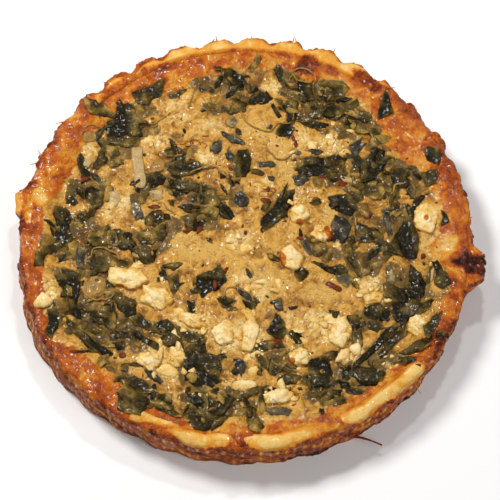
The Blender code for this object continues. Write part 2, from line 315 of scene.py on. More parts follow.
SHADED = [
    (-76, -4, 48, 13, 3), (-96, 30, 20, 26, 80), (62, -92, 40, 16, 10), (-62, -108, 26, 18, 0),
    (-30, -117, 26, 16, -10), (70, 76, 26, 12, -25), (-30, 28, 38, 18, -20), (-90, -60, 40, 20, -35),
    (96, -40, 36, 30, 70), (-72, 78, 26, 34, 95), (44, 100, 40, 18, -10), (-90, -34, 22, 22, 60),
    (20, -82, 26, 16, 0), (-38, 46, 26, 12, 0), (-25, 10, 26, 14, 0), (62, 40, 46, 14, 5),
    (-110, -10, 16, 50, 85), (4, -108, 40, 12, 20), (78, 34, 24, 12, 0), (-68, -58, 36, 16, -25),
    (88, 46, 26, 24, 80), (-80, 55, 26, 10, 20), (50, -12, 24, 10, -20), (70, -58, 30, 12, 40),
    (-20, 106, 40, 16, -15), (-4, 94, 14, 14, 0), (34, 112, 34, 14, -10), (38, 92, 24, 24, 60),
    (88, 70, 34, 20, -50), (106, 58, 26, 22, -60), (-95, 86, 18, 14, 30), (-6, 30, 12, 24, 0),
    (-42, 36, 22, 12, -20), (-42, 56, 20, 10, 0), (104, 40, 26, 16, -70), (90, 34, 18, 14, 0),
    (-106, 32, 10, 18, 0), (-66, 25, 10, 16, 0), (-92, -6, 40, 20, 10), (-92, -28, 24, 14, 0),
    (-54, -6, 22, 14, 0), (-46, 6, 14, 10, 0), (-115, -55, 14, 22, 0), (-76, -68, 32, 20, -35),
    (-78, -90, 24, 14, -30), (-34, -84, 16, 30, 0), (-18, -106, 50, 14, 5), (44, -98, 22, 20, 0),
    (84, -82, 22, 26, 45), (66, -12, 14, 30, 0), (76, -18, 24, 18, 0), (104, -36, 18, 22, 0),
    (122, -32, 8, 14, 0), (70, 14, 22, 14, 0), (95, 12, 16, 18, 0), (124, 6, 8, 18, 0),
    (86, 4, 18, 12, 0), (-100, 4, 26, 20, 90), (-70, 84, 16, 26, 80), (-20, 88, 24, 10, 0),
    (60, 72, 28, 12, 0), (-100, -42, 24, 26, 0)]


# Half side and step of the table of slow waves
SLOW_REACH, SLOW_STEP = 150.0, 2.5


def slow_relief(x, y):
    """The fixed model's slow waves of the filling, read from a table."""
    if "slow" not in TABLES:
        line = np.arange(-SLOW_REACH, SLOW_REACH + 1.0, SLOW_STEP)
        flat = [[noise.noise(Vector((a, b, 0.0)) / RELIEF_SIZE) for b in line] for a in line]
        TABLES["slow"] = CUSTARD_RELIEF * np.array(flat)
    table = TABLES["slow"]
    edge = SLOW_REACH - 1.0
    u = (np.clip(x, -edge, edge) + SLOW_REACH) / SLOW_STEP
    v = (np.clip(y, -edge, edge) + SLOW_REACH) / SLOW_STEP
    i, j = np.floor(u).astype(int), np.floor(v).astype(int)
    return between_cells(table, (i, j), (i + 1, j + 1), (u - i, v - j))


def filling_height(x, y):
    """Height of the baked surface without its small lumps."""
    radius = np.hypot(x, y)
    angle = np.degrees(np.arctan2(y, x))
    climb = smooth_step(CLIMB_START, INNER + 2.0, radius) * smooth_step(1.0, 4.0, overflow_reach(angle, x, y))
    low = CUSTARD_LEVEL + slow_relief(x, y) + EDGE_RISE * smooth_step(RISE_START, INNER + 1.0, radius)
    outward = np.clip((radius - (shell_radius(angle) - LIP_ROUNDING)) / LIP_ROUNDING, 0.0, 1.0)
    high = rim_height(angle) + 0.7 - LIP_ROUNDING * (1.0 - np.sqrt(1.0 - outward ** 2))
    return low * (1.0 - climb) + high * climb


def baked_lumps(x, y):
    """Lumps of what lies just under the skin, calm in the smooth pools."""
    calm = blobs(x, y, POOLS)
    creamy = blobs(x, y, CREAMY)
    wander_x = x + 2.6 * lumps(x, y, 7.0, 31)
    wander_y = y + 2.6 * lumps(x, y, 7.0, 32)
    nearest, second, value = cells(wander_x, wander_y, 3.4, 34)
    crumbs = smooth_step(0.0, 0.45, second - nearest) * (0.4 + value)
    folds = 1.0 - 2.2 * np.abs(lumps(wander_x, wander_y, 8.5, 33))
    relief = 0.85 * rough(x, y, 9.0, 35) + 0.45 * rough(wander_x, wander_y, 3.6, 39)
    relief += 0.55 * np.maximum(folds, 0.0) - 0.7 * creases(wander_y, wander_x, 10.0, 40) ** 4
    relief = relief * (1.0 - 0.8 * calm)
    relief += (0.12 + 0.95 * creamy) * (crumbs - 0.35) * (1.0 - 0.9 * calm)
    return relief + 0.3 * rough(x, y, 14.0, 37) + 0.10 * rough(x, y, 1.5, 38, 2)


def surface_height(x, y):
    """Height of the custard's finished skin."""
    return filling_height(x, y) + baked_lumps(x, y)


# ---------------------------------------------------------------- meshes

def add_piece(name, points, faces, finish, nodes, values):
    """Mesh object in metres that rides on the quiche and stands for some nodes."""
    mesh = bpy.data.meshes.new(name)
    mesh.from_pydata((np.asarray(points, float) * MM).tolist(), [], faces)
    for key, value in values.items():
        field = mesh.attributes.new(key, "FLOAT", "POINT")
        field.data.foreach_set("value", np.asarray(value, np.float32))
    mesh.validate()
    tidy = bmesh.new()
    tidy.from_mesh(mesh)
    bmesh.ops.recalc_face_normals(tidy, faces=tidy.faces)
    tidy.to_mesh(mesh)
    tidy.free()
    mesh.shade_smooth()
    mesh.materials.append(finish)
    piece = bpy.data.objects.new(name, mesh)
    bpy.context.scene.collection.objects.link(piece)
    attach(piece, BODY)
    if nodes:
        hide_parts(*nodes)
    return piece


def grid_faces(rows, columns, closed=False):
    """Quads between the points of a grid, numbered row by row."""
    faces = []
    last = columns if closed else columns - 1
    for i in range(rows - 1):
        for j in range(last):
            k = (j + 1) % columns
            a, b = i * columns, (i + 1) * columns
            faces.append((a + j, a + k, b + k, b + j))
    return faces


def grid_border(rows, columns):
    """Numbers of a grid's outer points, in order round it."""
    border = list(range(columns)) + [i * columns + columns - 1 for i in range(1, rows)]
    border += [(rows - 1) * columns + j for j in range(columns - 2, -1, -1)]
    return border + [i * columns for i in range(rows - 2, 0, -1)]


def slab_faces(rows, columns):
    """Faces of two grids, one above the other, and of the edge between them."""
    count = rows * columns
    upper = grid_faces(rows, columns)
    lower = [tuple(reversed([c + count for c in face])) for face in upper]
    border = grid_border(rows, columns)
    edge = []
    for here, after in zip(border, border[1:] + border[:1]):
        edge.append((after, here, here + count, after + count))
    return upper + lower + edge


def flat_grid(rows, columns):
    """Points of a grid from -1 to 1 both ways."""
    u, v = np.meshgrid(np.linspace(-1.0, 1.0, rows), np.linspace(-1.0, 1.0, columns), indexing="ij")
    return u.ravel(), v.ravel()


def disc_grid(rows, columns):
    """The same grid with its corners drawn in, so that it fills a round disc."""
    u, v = flat_grid(rows, columns)
    return u * np.sqrt(1.0 - 0.5 * v * v), v * np.sqrt(1.0 - 0.5 * u * u)


class Heap:
    """Many small closed shapes, gathered into the mesh of one piece."""

    def __init__(self):
        self.points, self.faces, self.values, self.count = [], [], {}, 0

    def add(self, points, faces, **values):
        """Take in one shape with its per-point values."""
        points = np.asarray(points, float)
        self.faces += [tuple(c + self.count for c in face) for face in faces]
        self.points.append(points)
        for key, value in values.items():
            self.values.setdefault(key, []).append(np.broadcast_to(value, (len(points),)))
        self.count += len(points)

    def piece(self, name, finish, slot):
        """Make the piece, which stands for no node of its own."""
        values = {key: np.concatenate(parts) for key, parts in self.values.items()}
        return add_piece(name, np.concatenate(self.points), self.faces, finish, (), values)


def sphere(subdivisions):
    """Directions and faces of a round ball of triangles."""
    ball = bmesh.new()
    bmesh.ops.create_icosphere(ball, subdivisions=subdivisions, radius=1.0)
    ball.verts.ensure_lookup_table()
    points = np.array([v.co[:] for v in ball.verts])
    faces = [tuple(v.index for v in face.verts) for face in ball.faces]
    ball.free()
    return points, faces


def cut_lump(rng, directions, cuts, bluntness):
    """Ball of unit size that random flats have cut into a lump."""
    flats = rng.normal(size=(cuts, 3))
    flats = flats / np.linalg.norm(flats, axis=1)[:, None]
    reach = 1.0 / np.maximum((directions @ flats.T / rng.uniform(0.5, 1.1, cuts)).max(1), bluntness)
    return directions * reach[:, None]


def placed(x, y, direction, along, across):
    """Turn a topping's own coordinates into places on the quiche."""
    turn = math.radians(direction)
    px = x + along * math.cos(turn) - across * math.sin(turn)
    py = y + along * math.sin(turn) + across * math.cos(turn)
    return px, py


def node_points(node):
    """Corners of a node of the fixed model, in millimetres."""
    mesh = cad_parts[node].data
    return np.array([v.co[:] for v in mesh.vertices]) / MM


def node_lay(node):
    """Centre, length, width and direction of a topping of the fixed model, seen from above."""
    flat = node_points(node)[:, :2]
    centre = 0.5 * (flat.max(0) + flat.min(0))
    best = None
    for direction in range(-90, 90, 3):
        turn = math.radians(direction)
        along = flat @ (math.cos(turn), math.sin(turn))
        across = flat @ (-math.sin(turn), math.cos(turn))
        size = (np.ptp(along), np.ptp(across))
        if best is None or size[0] * size[1] < best[0]:
            best = (size[0] * size[1], size, direction)
    size, direction = best[1], best[2]
    if size[1] > size[0]:
        size, direction = (size[1], size[0]), direction + 90
    return centre[0], centre[1], size[0], size[1], direction


def tube(route, thickness, sides=7):
    """Closed tapering tube along a list of points."""
    route = np.asarray(route, float)
    points = []
    for k, spot in enumerate(route):
        ahead = route[min(k + 1, len(route) - 1)] - route[max(k - 1, 0)]
        ahead = ahead / np.linalg.norm(ahead)
        side = np.cross(ahead, (0.12, 0.2, 1.0))
        side = side / np.linalg.norm(side)
        other = np.cross(ahead, side)
        share = k / (len(route) - 1)
        radius = thickness * (0.55 + 0.45 * math.sin(math.pi * min(1.0, 0.25 + share)))
        for step in range(sides):
            turn = 2.0 * math.pi * step / sides
            points.append(spot + radius * (math.cos(turn) * side + math.sin(turn) * other))
    faces = grid_faces(len(route), sides, closed=True)
    faces.append(tuple(range(sides)))
    faces.append(tuple(range(len(points) - 1, len(points) - sides - 1, -1)))
    return points, faces


# ---------------------------------------------------------------- finishes

def srgb(red, green, blue):
    """Linear colour of an 8 bit display colour."""
    parts = [part / 255.0 for part in (red, green, blue)]
    return tuple(p / 12.92 if p <= 0.04045 else ((p + 0.055) / 1.055) ** 2.4 for p in parts) + (1.0,)


def new_finish(name, roughness=0.5, wet=0.0, soft=0.0, specular=0.10):
    """Material with its shader ready; wet is the share of the surface that glistens."""
    finish = bpy.data.materials.new(name)
    finish.use_nodes = True
    tree = finish.node_tree
    shader = tree.nodes["Principled BSDF"]
    shader.inputs["Roughness"].default_value = roughness
    shader.inputs["Specular IOR Level"].default_value = specular
    shader.inputs["Coat Roughness"].default_value = 0.10
    shader.inputs["Coat IOR"].default_value = 1.5
    shader.inputs["Subsurface Weight"].default_value = soft
    shader.inputs["Subsurface Radius"].default_value = (1.0, 0.55, 0.25)
    shader.inputs["Subsurface Scale"].default_value = 2.2 * MM
    if wet:
        patches = band(tree, grain(tree, 2.4, 2.0), 0.60 - 0.25 * wet, 0.63 - 0.25 * wet)
        tree.links.new(patches, shader.inputs["Coat Weight"])
        relief(tree, shader, [(grain(tree, 2.0, 1.0), 0.9)], socket="Coat Normal")
    return finish, tree, shader


def baked_colour(tree, colours, mixed):
    """Colour of the browned skin from its bake level, grained by a noise."""
    level = maths(tree, "ADD", read_field(tree, "bake"), swing(tree, mixed, 1.35))
    return ramp(tree, level, [(0.00, (226, 190, 112)), (0.15, colours.pastry), (0.30, (208, 136, 42)),
                              (0.45, (190, 98, 22)), (0.60, colours.browned), (0.78, (112, 42, 8)),
                              (1.00, (38, 16, 8))])


def read_field(tree, name):
    """A piece's own per-point value."""
    node = tree.nodes.new("ShaderNodeAttribute")
    node.attribute_name = name
    return node.outputs["Fac"]


def grain(tree, size, detail=4.0, distortion=0.0):
    """Noise with grains of a size in millimetres, from 0 to 1."""
    place = tree.nodes.new("ShaderNodeTexCoord")
    node = tree.nodes.new("ShaderNodeTexNoise")
    node.inputs["Scale"].default_value = 1.0 / (size * MM)
    node.inputs["Detail"].default_value = detail
    node.inputs["Roughness"].default_value = 0.6
    node.inputs["Distortion"].default_value = distortion
    tree.links.new(place.outputs["Object"], node.inputs["Vector"])
    return node.outputs["Fac"]


def ramp(tree, factor, stops):
    """Colours along a factor: stops are (position, 8 bit display colour)."""
    node = tree.nodes.new("ShaderNodeValToRGB")
    elements = node.color_ramp.elements
    for element, (position, colour) in zip(elements, (stops[0], stops[-1])):
        element.position = position
        element.color = srgb(*colour)
    for position, colour in stops[1:-1]:
        elements.new(position).color = srgb(*colour)
    tree.links.new(factor, node.inputs["Fac"])
    return node.outputs["Color"]


def maths(tree, operation, first, second):
    """One sum with sockets or numbers."""
    node = tree.nodes.new("ShaderNodeMath")
    node.operation = operation
    for socket, value in zip(node.inputs, (first, second)):
        if isinstance(value, (int, float)):
            socket.default_value = value
        else:
            tree.links.new(value, socket)
    return node.outputs[0]


def swing(tree, value, gain=1.0):
    """How far a noise is from its middle, times a gain."""
    away = maths(tree, "SUBTRACT", value, 0.5)
    return away if gain == 1.0 else maths(tree, "MULTIPLY", away, gain)


def shared(tree, coarse, fine, share):
    """Weighted mean of two noises; share is the coarse one's weight."""
    first = maths(tree, "MULTIPLY", coarse, share)
    return maths(tree, "ADD", first, maths(tree, "MULTIPLY", fine, 1.0 - share))


def scaled_field(tree, name, gain):
    """A piece's own per-point value, times a gain."""
    return maths(tree, "MULTIPLY", read_field(tree, name), gain)


def band(tree, value, low, high):
    """0 below low and 1 above high, smooth between them."""
    node = tree.nodes.new("ShaderNodeMapRange")
    node.interpolation_type = "SMOOTHSTEP"
    node.inputs["From Min"].default_value = low
    node.inputs["From Max"].default_value = high
    tree.links.new(value, node.inputs["Value"])
    return node.outputs["Result"]


def blend_colours(tree, factor, first, second):
    """Mix of two colours by a factor."""
    node = tree.nodes.new("ShaderNodeMix")
    node.data_type = "RGBA"
    for socket, value in ((node.inputs[0], factor), (node.inputs[6], first), (node.inputs[7], second)):
        if isinstance(value, tuple):
            socket.default_value = value
        else:
            tree.links.new(value, socket)
    return node.outputs[2]


def relief(tree, shader, heights, socket="Normal"):
    """Surface relief from (height socket, depth in millimetres) pairs."""
    normal = None
    for height, depth in heights:
        node = tree.nodes.new("ShaderNodeBump")
        node.inputs["Strength"].default_value = 1.0
        node.inputs["Distance"].default_value = depth * MM
        tree.links.new(height, node.inputs["Height"])
        if normal is not None:
            tree.links.new(normal, node.inputs["Normal"])
        normal = node.outputs["Normal"]
    tree.links.new(normal, shader.inputs[socket])


def crust_finish(colours):
    """Golden pastry under patches of browned and burnt egg."""
    finish, tree, shader = new_finish("baked_crust", roughness=0.55, wet=0.18)
    egg = read_field(tree, "egg")
    coarse, fine = grain(tree, 4.0, 5.0), grain(tree, 1.0, 5.0)
    mixed = shared(tree, coarse, fine, 0.5)
    calm = blend_colours(tree, egg, maths(tree, "ADD", maths(tree, "MULTIPLY", mixed, 0.4), 0.3), mixed)
    tree.links.new(baked_colour(tree, colours, calm), shader.inputs["Base Color"])
    egg_grain = maths(tree, "MULTIPLY", grain(tree, 1.1, 4.0), egg)
    relief(tree, shader, [(fine, 0.12), (egg_grain, 1.1)])
    return finish


def custard_finish(colours):
    """Set egg custard: painted shade makes it darker ochre in the creases and low places; tan in the pools,
    cream over cheese, brown at the rim.
    """
    finish, tree, shader = new_finish("baked_custard", roughness=0.45, wet=0.30, soft=0.05)
    coarse, fine = grain(tree, 7.0, 4.0, distortion=0.8), grain(tree, 1.3, 5.0)
    mixed = shared(tree, coarse, fine, 0.8)
    # Painted shade and light: the skin's low places are coloured darker ochre and its lumps lighter
    tone = maths(tree, "ADD", mixed, scaled_field(tree, "height", 0.34))
    body = ramp(tree, tone, [(0.32, (104, 68, 20)), (0.43, (160, 110, 38)), (0.55, colours.custard),
                             (0.74, (214, 170, 90))])
    pool = blend_colours(tree, scaled_field(tree, "pool", 0.8), body, srgb(206, 162, 80))
    cream = ramp(tree, tone, [(0.32, (172, 120, 44)), (0.48, (208, 164, 84)), (0.70, (230, 204, 142))])
    body = blend_colours(tree, read_field(tree, "cream"), pool, cream)
    shade = ramp(tree, mixed, [(0.34, (46, 36, 16)), (0.50, (86, 66, 28)), (0.66, (140, 106, 44))])
    ragged = maths(tree, "ADD", read_field(tree, "shade"), swing(tree, mixed, 2.6))
    body = blend_colours(tree, maths(tree, "MULTIPLY", band(tree, ragged, 0.34, 0.60), 0.92), body, shade)
    # Painted shade: thin dark lines drawn on the skin as the shade of its creases
    winding = swing(tree, grain(tree, 9.0, 3.0, distortion=1.2))
    painted_crease_shade = band(tree, maths(tree, "ABSOLUTE", winding, 0.0), 0.020, 0.004)
    body = blend_colours(tree, maths(tree, "MULTIPLY", painted_crease_shade, 0.6), body, srgb(100, 62, 22))
    browned = read_field(tree, "brown")
    edge = maths(tree, "ADD", browned, swing(tree, mixed))
    body = blend_colours(tree, band(tree, edge, 0.30, 0.70), body, baked_colour(tree, colours, mixed))
    speck = band(tree, grain(tree, 1.9, 2.0), 0.70, 0.73)
    body = blend_colours(tree, maths(tree, "MULTIPLY", speck, 0.75), body, srgb(74, 46, 18))
    tree.links.new(body, shader.inputs["Base Color"])
    bubbles = maths(tree, "MULTIPLY", grain(tree, 1.2, 4.0), browned)
    relief(tree, shader, [(coarse, 1.2), (fine, 0.4), (bubbles, 1.0), (grain(tree, 0.7, 3.0), 0.1)])
    return finish


def leaf_finish(colours, name="wilted_spinach", grey=False):
    """Wilted leaf: nearly black where it is thick, olive where custard films it."""
    finish, tree, shader = new_finish(name, roughness=0.4, wet=0.30)
    coarse, fine = grain(tree, 4.0, 3.0), grain(tree, 1.2, 5.0)
    mixed = shared(tree, coarse, fine, 0.5)
    tone = maths(tree, "ADD", read_field(tree, "tone"), swing(tree, mixed, 1.2))
    dark, olive, light, film = (25, 20, 6), colours.leaf, (100, 80, 33), (168, 132, 60)
    if grey:
        dark, olive, light, film = (36, 32, 26), (66, 59, 45), (104, 90, 62), (172, 144, 86)
    colour = ramp(tree, tone, [(0.00, dark), (0.28, olive), (0.60, light), (0.95, film)])
    tree.links.new(colour, shader.inputs["Base Color"])
    relief(tree, shader, [(coarse, 0.8), (fine, 0.5), (grain(tree, 0.6, 3.0), 0.15)])
    return finish


def cheese_finish(colours):
    """Crumbly white cheese, golden low down where custard films it, with painted highlight on its bumps and
    painted shade in its crevices, and toasted where it stood proud.
    """
    finish, tree, shader = new_finish("crumbled_cheese", roughness=0.5, wet=0.12, soft=0.15)
    coarse = grain(tree, 4.5, 4.0)
    fine = grain(tree, 1.0, 5.0)
    mixed = shared(tree, coarse, fine, 0.6)
    # Painted highlight and shade: the height field lightens bumps and darkens crevices; low down the gold is
    # custard film
    tone = maths(tree, "ADD", mixed, scaled_field(tree, "height", 0.5))
    body = ramp(tree, tone, [(0.34, (188, 132, 46)), (0.48, (220, 174, 84)),
                             (0.62, colours.cheese), (0.86, (246, 230, 188))])
    toast = maths(tree, "ADD", read_field(tree, "toast"), swing(tree, mixed))
    toasted = ramp(tree, mixed, [(0.35, (110, 36, 12)), (0.6, (206, 118, 34))])
    body = blend_colours(tree, band(tree, toast, 0.35, 0.75), body, toasted)
    tree.links.new(body, shader.inputs["Base Color"])
    relief(tree, shader, [(fine, 0.3), (grain(tree, 0.5, 3.0), 0.1)])
    return finish


def onion_finish(name, low, high, wet=0.3):
    """Softly fried onion, oily and half clear."""
    finish, tree, shader = new_finish(name, roughness=0.4, wet=wet, soft=0.1)
    streak = grain(tree, 3.0, 4.0, distortion=1.0)
    body = ramp(tree, streak, [(0.32, low), (0.68, high)])
    body = blend_colours(tree, scaled_field(tree, "rib", 0.6), body, srgb(96, 60, 22))
    tree.links.new(body, shader.inputs["Base Color"])
    relief(tree, shader, [(grain(tree, 1.2, 4.0), 0.2)])
    return finish


def burnt_finish(name, low, high):
    """Dark baked-on bits, from brown to nearly black."""
    finish, tree, shader = new_finish(name, roughness=0.45, wet=0.2)
    tone = maths(tree, "ADD", read_field(tree, "tone"), swing(tree, grain(tree, 1.5)))
    body = ramp(tree, tone, [(0.2, low), (0.8, high)])
    tree.links.new(body, shader.inputs["Base Color"])
    relief(tree, shader, [(grain(tree, 0.8), 0.2)])
    return finish


# ---------------------------------------------------------------- crust

WALL_ROWS = 22
# Places baked more or less than what is round them: x, y, length, width, direction, bake
BAKED_SPOTS = [
    (39, 119, 15, 12, 0, 0.80), (144, -22, 14, 28, 80, 0.97), (82, 105, 32, 7, -40, 0.72),
    (89, 91, 8, 8, 60, 0.6), (125, -7, 26, 13, 60, 0.16), (111, 69, 9, 8, 0, 0.24),
    (118, 26, 16, 10, 70, 0.35), (-40, 118, 44, 8, 10, 0.52), (-112, 62, 18, 12, 60, 0.42),
    (-124, 40, 12, 26, 85, 0.45), (-122, -8, 14, 60, 90, 0.42), (-108, 76, 12, 10, 50, 0.4),
    (-98, -90, 44, 18, -50, 0.50), (-112, -92, 40, 6, -48, 0.82), (-92, -112, 40, 7, -48, 0.88),
    (128, 40, 10, 30, 75, 0.62), (122, -50, 12, 22, 70, 0.52), (-142, 20, 9, 18, 0, 0.12),
    (-128, 24, 9, 12, 0, 0.14), (-134, 16, 6, 16, 0, 0.2), (119, -72, 8, 14, 60, 0.85),
    (20, 121, 30, 6, 0, 0.35), (62, 104, 22, 8, -30, 0.3), (-80, 103, 26, 8, 40, 0.5),
    (5, -125, 120, 6, 0, 0.34), (78, -101, 50, 6, 40, 0.36), (-62, 113, 14, 8, 30, 0.5),
    (132, 4, 14, 26, 88, 0.5)]
# Upright pale marks on the side, left by the tin's holes: how many, and how much paler they are
STREAKS = 165
STREAK_PALENESS = 0.66


def bake_level(x, y, level):
    """Even out a bake level with the named spots and small patches."""
    for *spot, value in BAKED_SPOTS:
        level = level + (value - level) * blob(x, y, spot)
    return level + 0.18 * rough(x, y, 9.0, 27) + 0.11 * rough(x, y, 2.6, 28)


def shell_radius(angle):
    """Outer radius of the rim once egg has run into the near flutes."""
    filled = 0.7 * between(angle, -166.0, 24.0, 12.0) + 0.35 * between(angle, 140.0, 190.0, 8.0)
    return rim_radius(angle) + filled * FLUTE_DEPTH * flute(angle)


def roll_nearness(x, y, sharpness=4.0):
    """1 on the middle line of the pastry rolls, falling to 0 a roll's width away."""
    away = np.full(np.shape(x), 99.0)
    for line in ROLLS:
        for (ax, ay), (bx, by) in zip(line, line[1:]):
            length = (bx - ax) ** 2 + (by - ay) ** 2
            share = np.clip(((x - ax) * (bx - ax) + (y - ay) * (by - ay)) / length, 0.0, 1.0)
            away = np.minimum(away, np.hypot(x - ax - share * (bx - ax), y - ay - share * (by - ay)))
    width = ROLL_WIDTH * (1.0 + 0.3 * lumps(x, y, 11.0, 57))
    return np.exp(-((away / width) ** sharpness))


def slanted(x, y, height):
    """Where to read a flat noise, so that it changes with height as well."""
    return x + 1.3 * height, y - 0.9 * height


def crust_bake(part, angle, x, y, radius, height):
    """How far the crust has browned, from 0 for pale dough to 1 for burnt."""
    rim = shell_radius(angle)
    slant_x, slant_y = slanted(x, y, height)
    if part in ("base", "foot", "inside"):
        return 0.34 + 0.10 * rough(x, y, 16.0, 41)
    near = between(angle, -172.0, 30.0, 16.0)
    if part == "wall":
        dark = np.maximum(near, between(angle, 140.0, 190.0, 6.0))
        return 0.46 + 0.19 * dark + 0.38 * rough(slant_x, slant_y, 8.0, 42) + 0.10 * dark * (height < 6.0)
    bare = bare_lip(angle, x, y)
    border = 1.3 + 1.0 * lumps(x, y, 6.0, 43) + 3.0 * bump(angle, 122.0, 14.0)
    line = smooth_step(-1.2, 1.2, radius - (rim - border))
    wide = smooth_step(-4.5, -0.5, radius - rim) * between(angle, 136.0, 330.0, 8.0)
    egg = 0.50 + 0.26 * np.maximum(line * line, wide)
    clean = 0.15 + 0.45 * line + 0.28 * smooth_step(INNER + 3.0, INNER + 0.8, radius)
    level = egg + bare * (clean - egg)
    rolls = between(angle, -124.0, -36.0, 2.0)
    level = level + rolls * (0.50 + 0.16 * line + 0.14 * rough(x, y, 6.0, 44) - level)
    level = level + (0.07 - level) * smooth_step(0.05, 0.95, roll_nearness(x, y))
    return bake_level(x, y, level)


def streak(angle, height):
    """Marks that the tin's small holes leave on the side."""
    turn = (angle * STREAKS / 360.0 + 0.15 * lumps(angle, angle * 0.0, 1.5, 46)) % 1.0
    pitch = 2.0 * math.pi * RIM_CREST / STREAKS
    across = np.exp(-(((turn - 0.5) * pitch / 1.05) ** 2))
    wander = 1.5 * lumps(angle * 2.4, angle * 0.0, 3.0, 47)
    rows = 0.8 * np.exp(-(((height - 9.0 - wander) / 3.0) ** 2))
    rows = rows + 1.2 * np.exp(-(((height - 20.5 + wander) / 2.8) ** 2))
    kept = 0.60 + 0.8 * lumps(angle * 3.1, height * 0.3, 4.0, 48)
    return across * np.minimum(rows, 1.0) * np.clip(kept + 0.2, 0.0, 1.0)


def crust_rows(angle):
    """Radius, height and outward direction of the crust, row by row, with a name for each part."""
    rim, base, top = shell_radius(angle), base_radius(angle), rim_height(angle)
    base = base + 0.7 * (rim - rim_radius(angle))
    flat = np.ones_like(angle)
    rows = []
    for share in (0.12, 0.3, 0.5, 0.68, 0.84, 0.95, 1.0):
        rows.append((share * (base - BASE_ROUNDING), 0.0 * flat, 0.0, -1.0, "base"))
    for turn in (30.0, 60.0):
        out, up = math.sin(math.radians(turn)), 1.0 - math.cos(math.radians(turn))
        rows.append((base - BASE_ROUNDING * (1.0 - out), BASE_ROUNDING * up * flat, out, up - 1.0, "foot"))
    low, high = BASE_ROUNDING, top - 2.0 * LIP_ROUNDING
    for share in np.linspace(0.0, 1.0, WALL_ROWS):
        rows.append((base + (rim - base) * share, low + (high - low) * share, 1.0, 0.0, "wall"))
    for share in (0.33, 0.66):
        rows.append((rim, high + share * LIP_ROUNDING, 1.0, 0.0, "wall"))
    for turn in np.linspace(0.0, 90.0, 8):
        out, up = math.cos(math.radians(turn)), math.sin(math.radians(turn))
        radius = rim - LIP_ROUNDING * (1.0 - out)
        rows.append((radius, top - LIP_ROUNDING * (1.0 - up), out, up, "edge"))
    for share in np.linspace(0.06, 1.0, 15):
        radius = (rim - LIP_ROUNDING) * (1.0 - share) + INNER * share
        rows.append((radius, lip_height(radius, angle), 0.0, 1.0, "lip"))
    rows.append((INNER * flat, 22.0 * flat, -1.0, 0.0, "inside"))
    rows.append(((INNER - INNER_TAPER) * flat, 5.0 * flat, -1.0, 0.0, "inside"))
    return rows


def crust_shift(part, angle, x, y, radius, height, egg):
    """How far the baked skin stands out from the plain shell."""
    if part in ("base", "foot", "inside"):
        return 0.0 * x
    slant_x, slant_y = slanted(x, y, height)
    crusty = 0.9 * rough(slant_x, slant_y, 5.0, 51) + 0.55 * rough(slant_x, slant_y, 1.7, 52)
    shift = 0.35 * lumps(slant_x, slant_y, 12.0, 53) + egg * crusty
    if part == "edge":
        shift = shift + egg * 1.9 * np.maximum(0.0, lumps(slant_x, slant_y, 2.6, 55))
    if part == "wall":
        shift = shift + (0.30 + 0.45 * between(angle, 176.0, 216.0, 6.0)) * streak(angle, height)
    if part == "lip":
        shift = shift * smooth_step(INNER - 0.2, INNER + 1.5, radius) + 0.35 * (1.0 - egg)
    return shift


def make_crust(sizes, colours):
    """Fluted shell with marks of the tin, baked-on egg and burnt spots."""
    columns = sizes.crust_columns
    angle = np.arange(columns) * 360.0 / columns
    turn = np.radians(angle)
    points, fields = [], {"bake": [], "egg": []}
    for radius, height, out, up, part in crust_rows(angle):
        x, y = radius * np.cos(turn), radius * np.sin(turn)
        bake = crust_bake(part, angle, x, y, radius, height)
        egg = smooth_step(0.3, 0.5, bake)
        shift = crust_shift(part, angle, x, y, radius, height, egg)
        if part == "wall":
            bake = bake - STREAK_PALENESS * streak(angle, height)
        roll = roll_nearness(x, y, 2.0) if part in ("lip", "edge") else 0.0 * x
        radius = radius + shift * out + 0.9 * roll * (part == "edge")
        height = height + shift * up + ROLL_LIFT * roll * (0.75 + 0.35 * lumps(x, y, 9.0, 56))
        points.append(np.stack([radius * np.cos(turn), radius * np.sin(turn), np.maximum(height, 0.0)], 1))
        fields["bake"].append(np.clip(bake, 0.0, 1.0))
        fields["egg"].append(egg)
    rows = len(points)
    faces = grid_faces(rows, columns, closed=True)
    ends = [(0.0, 0.0, 0.0), (0.0, 0.0, 4.5)]
    bottom, top = rows * columns, rows * columns + 1
    last = (rows - 1) * columns
    for j in range(columns):
        k = (j + 1) % columns
        faces.append((bottom, k, j))
        faces.append((top, last + j, last + k))
    values = {key: np.append(np.concatenate(parts), (0.35, 0.35)) for key, parts in fields.items()}
    points = np.concatenate(points + [np.array(ends)])
    add_piece("pastry_crust", points, faces, crust_finish(colours), ["pastry_shell"], values)


# ---------------------------------------------------------------- custard

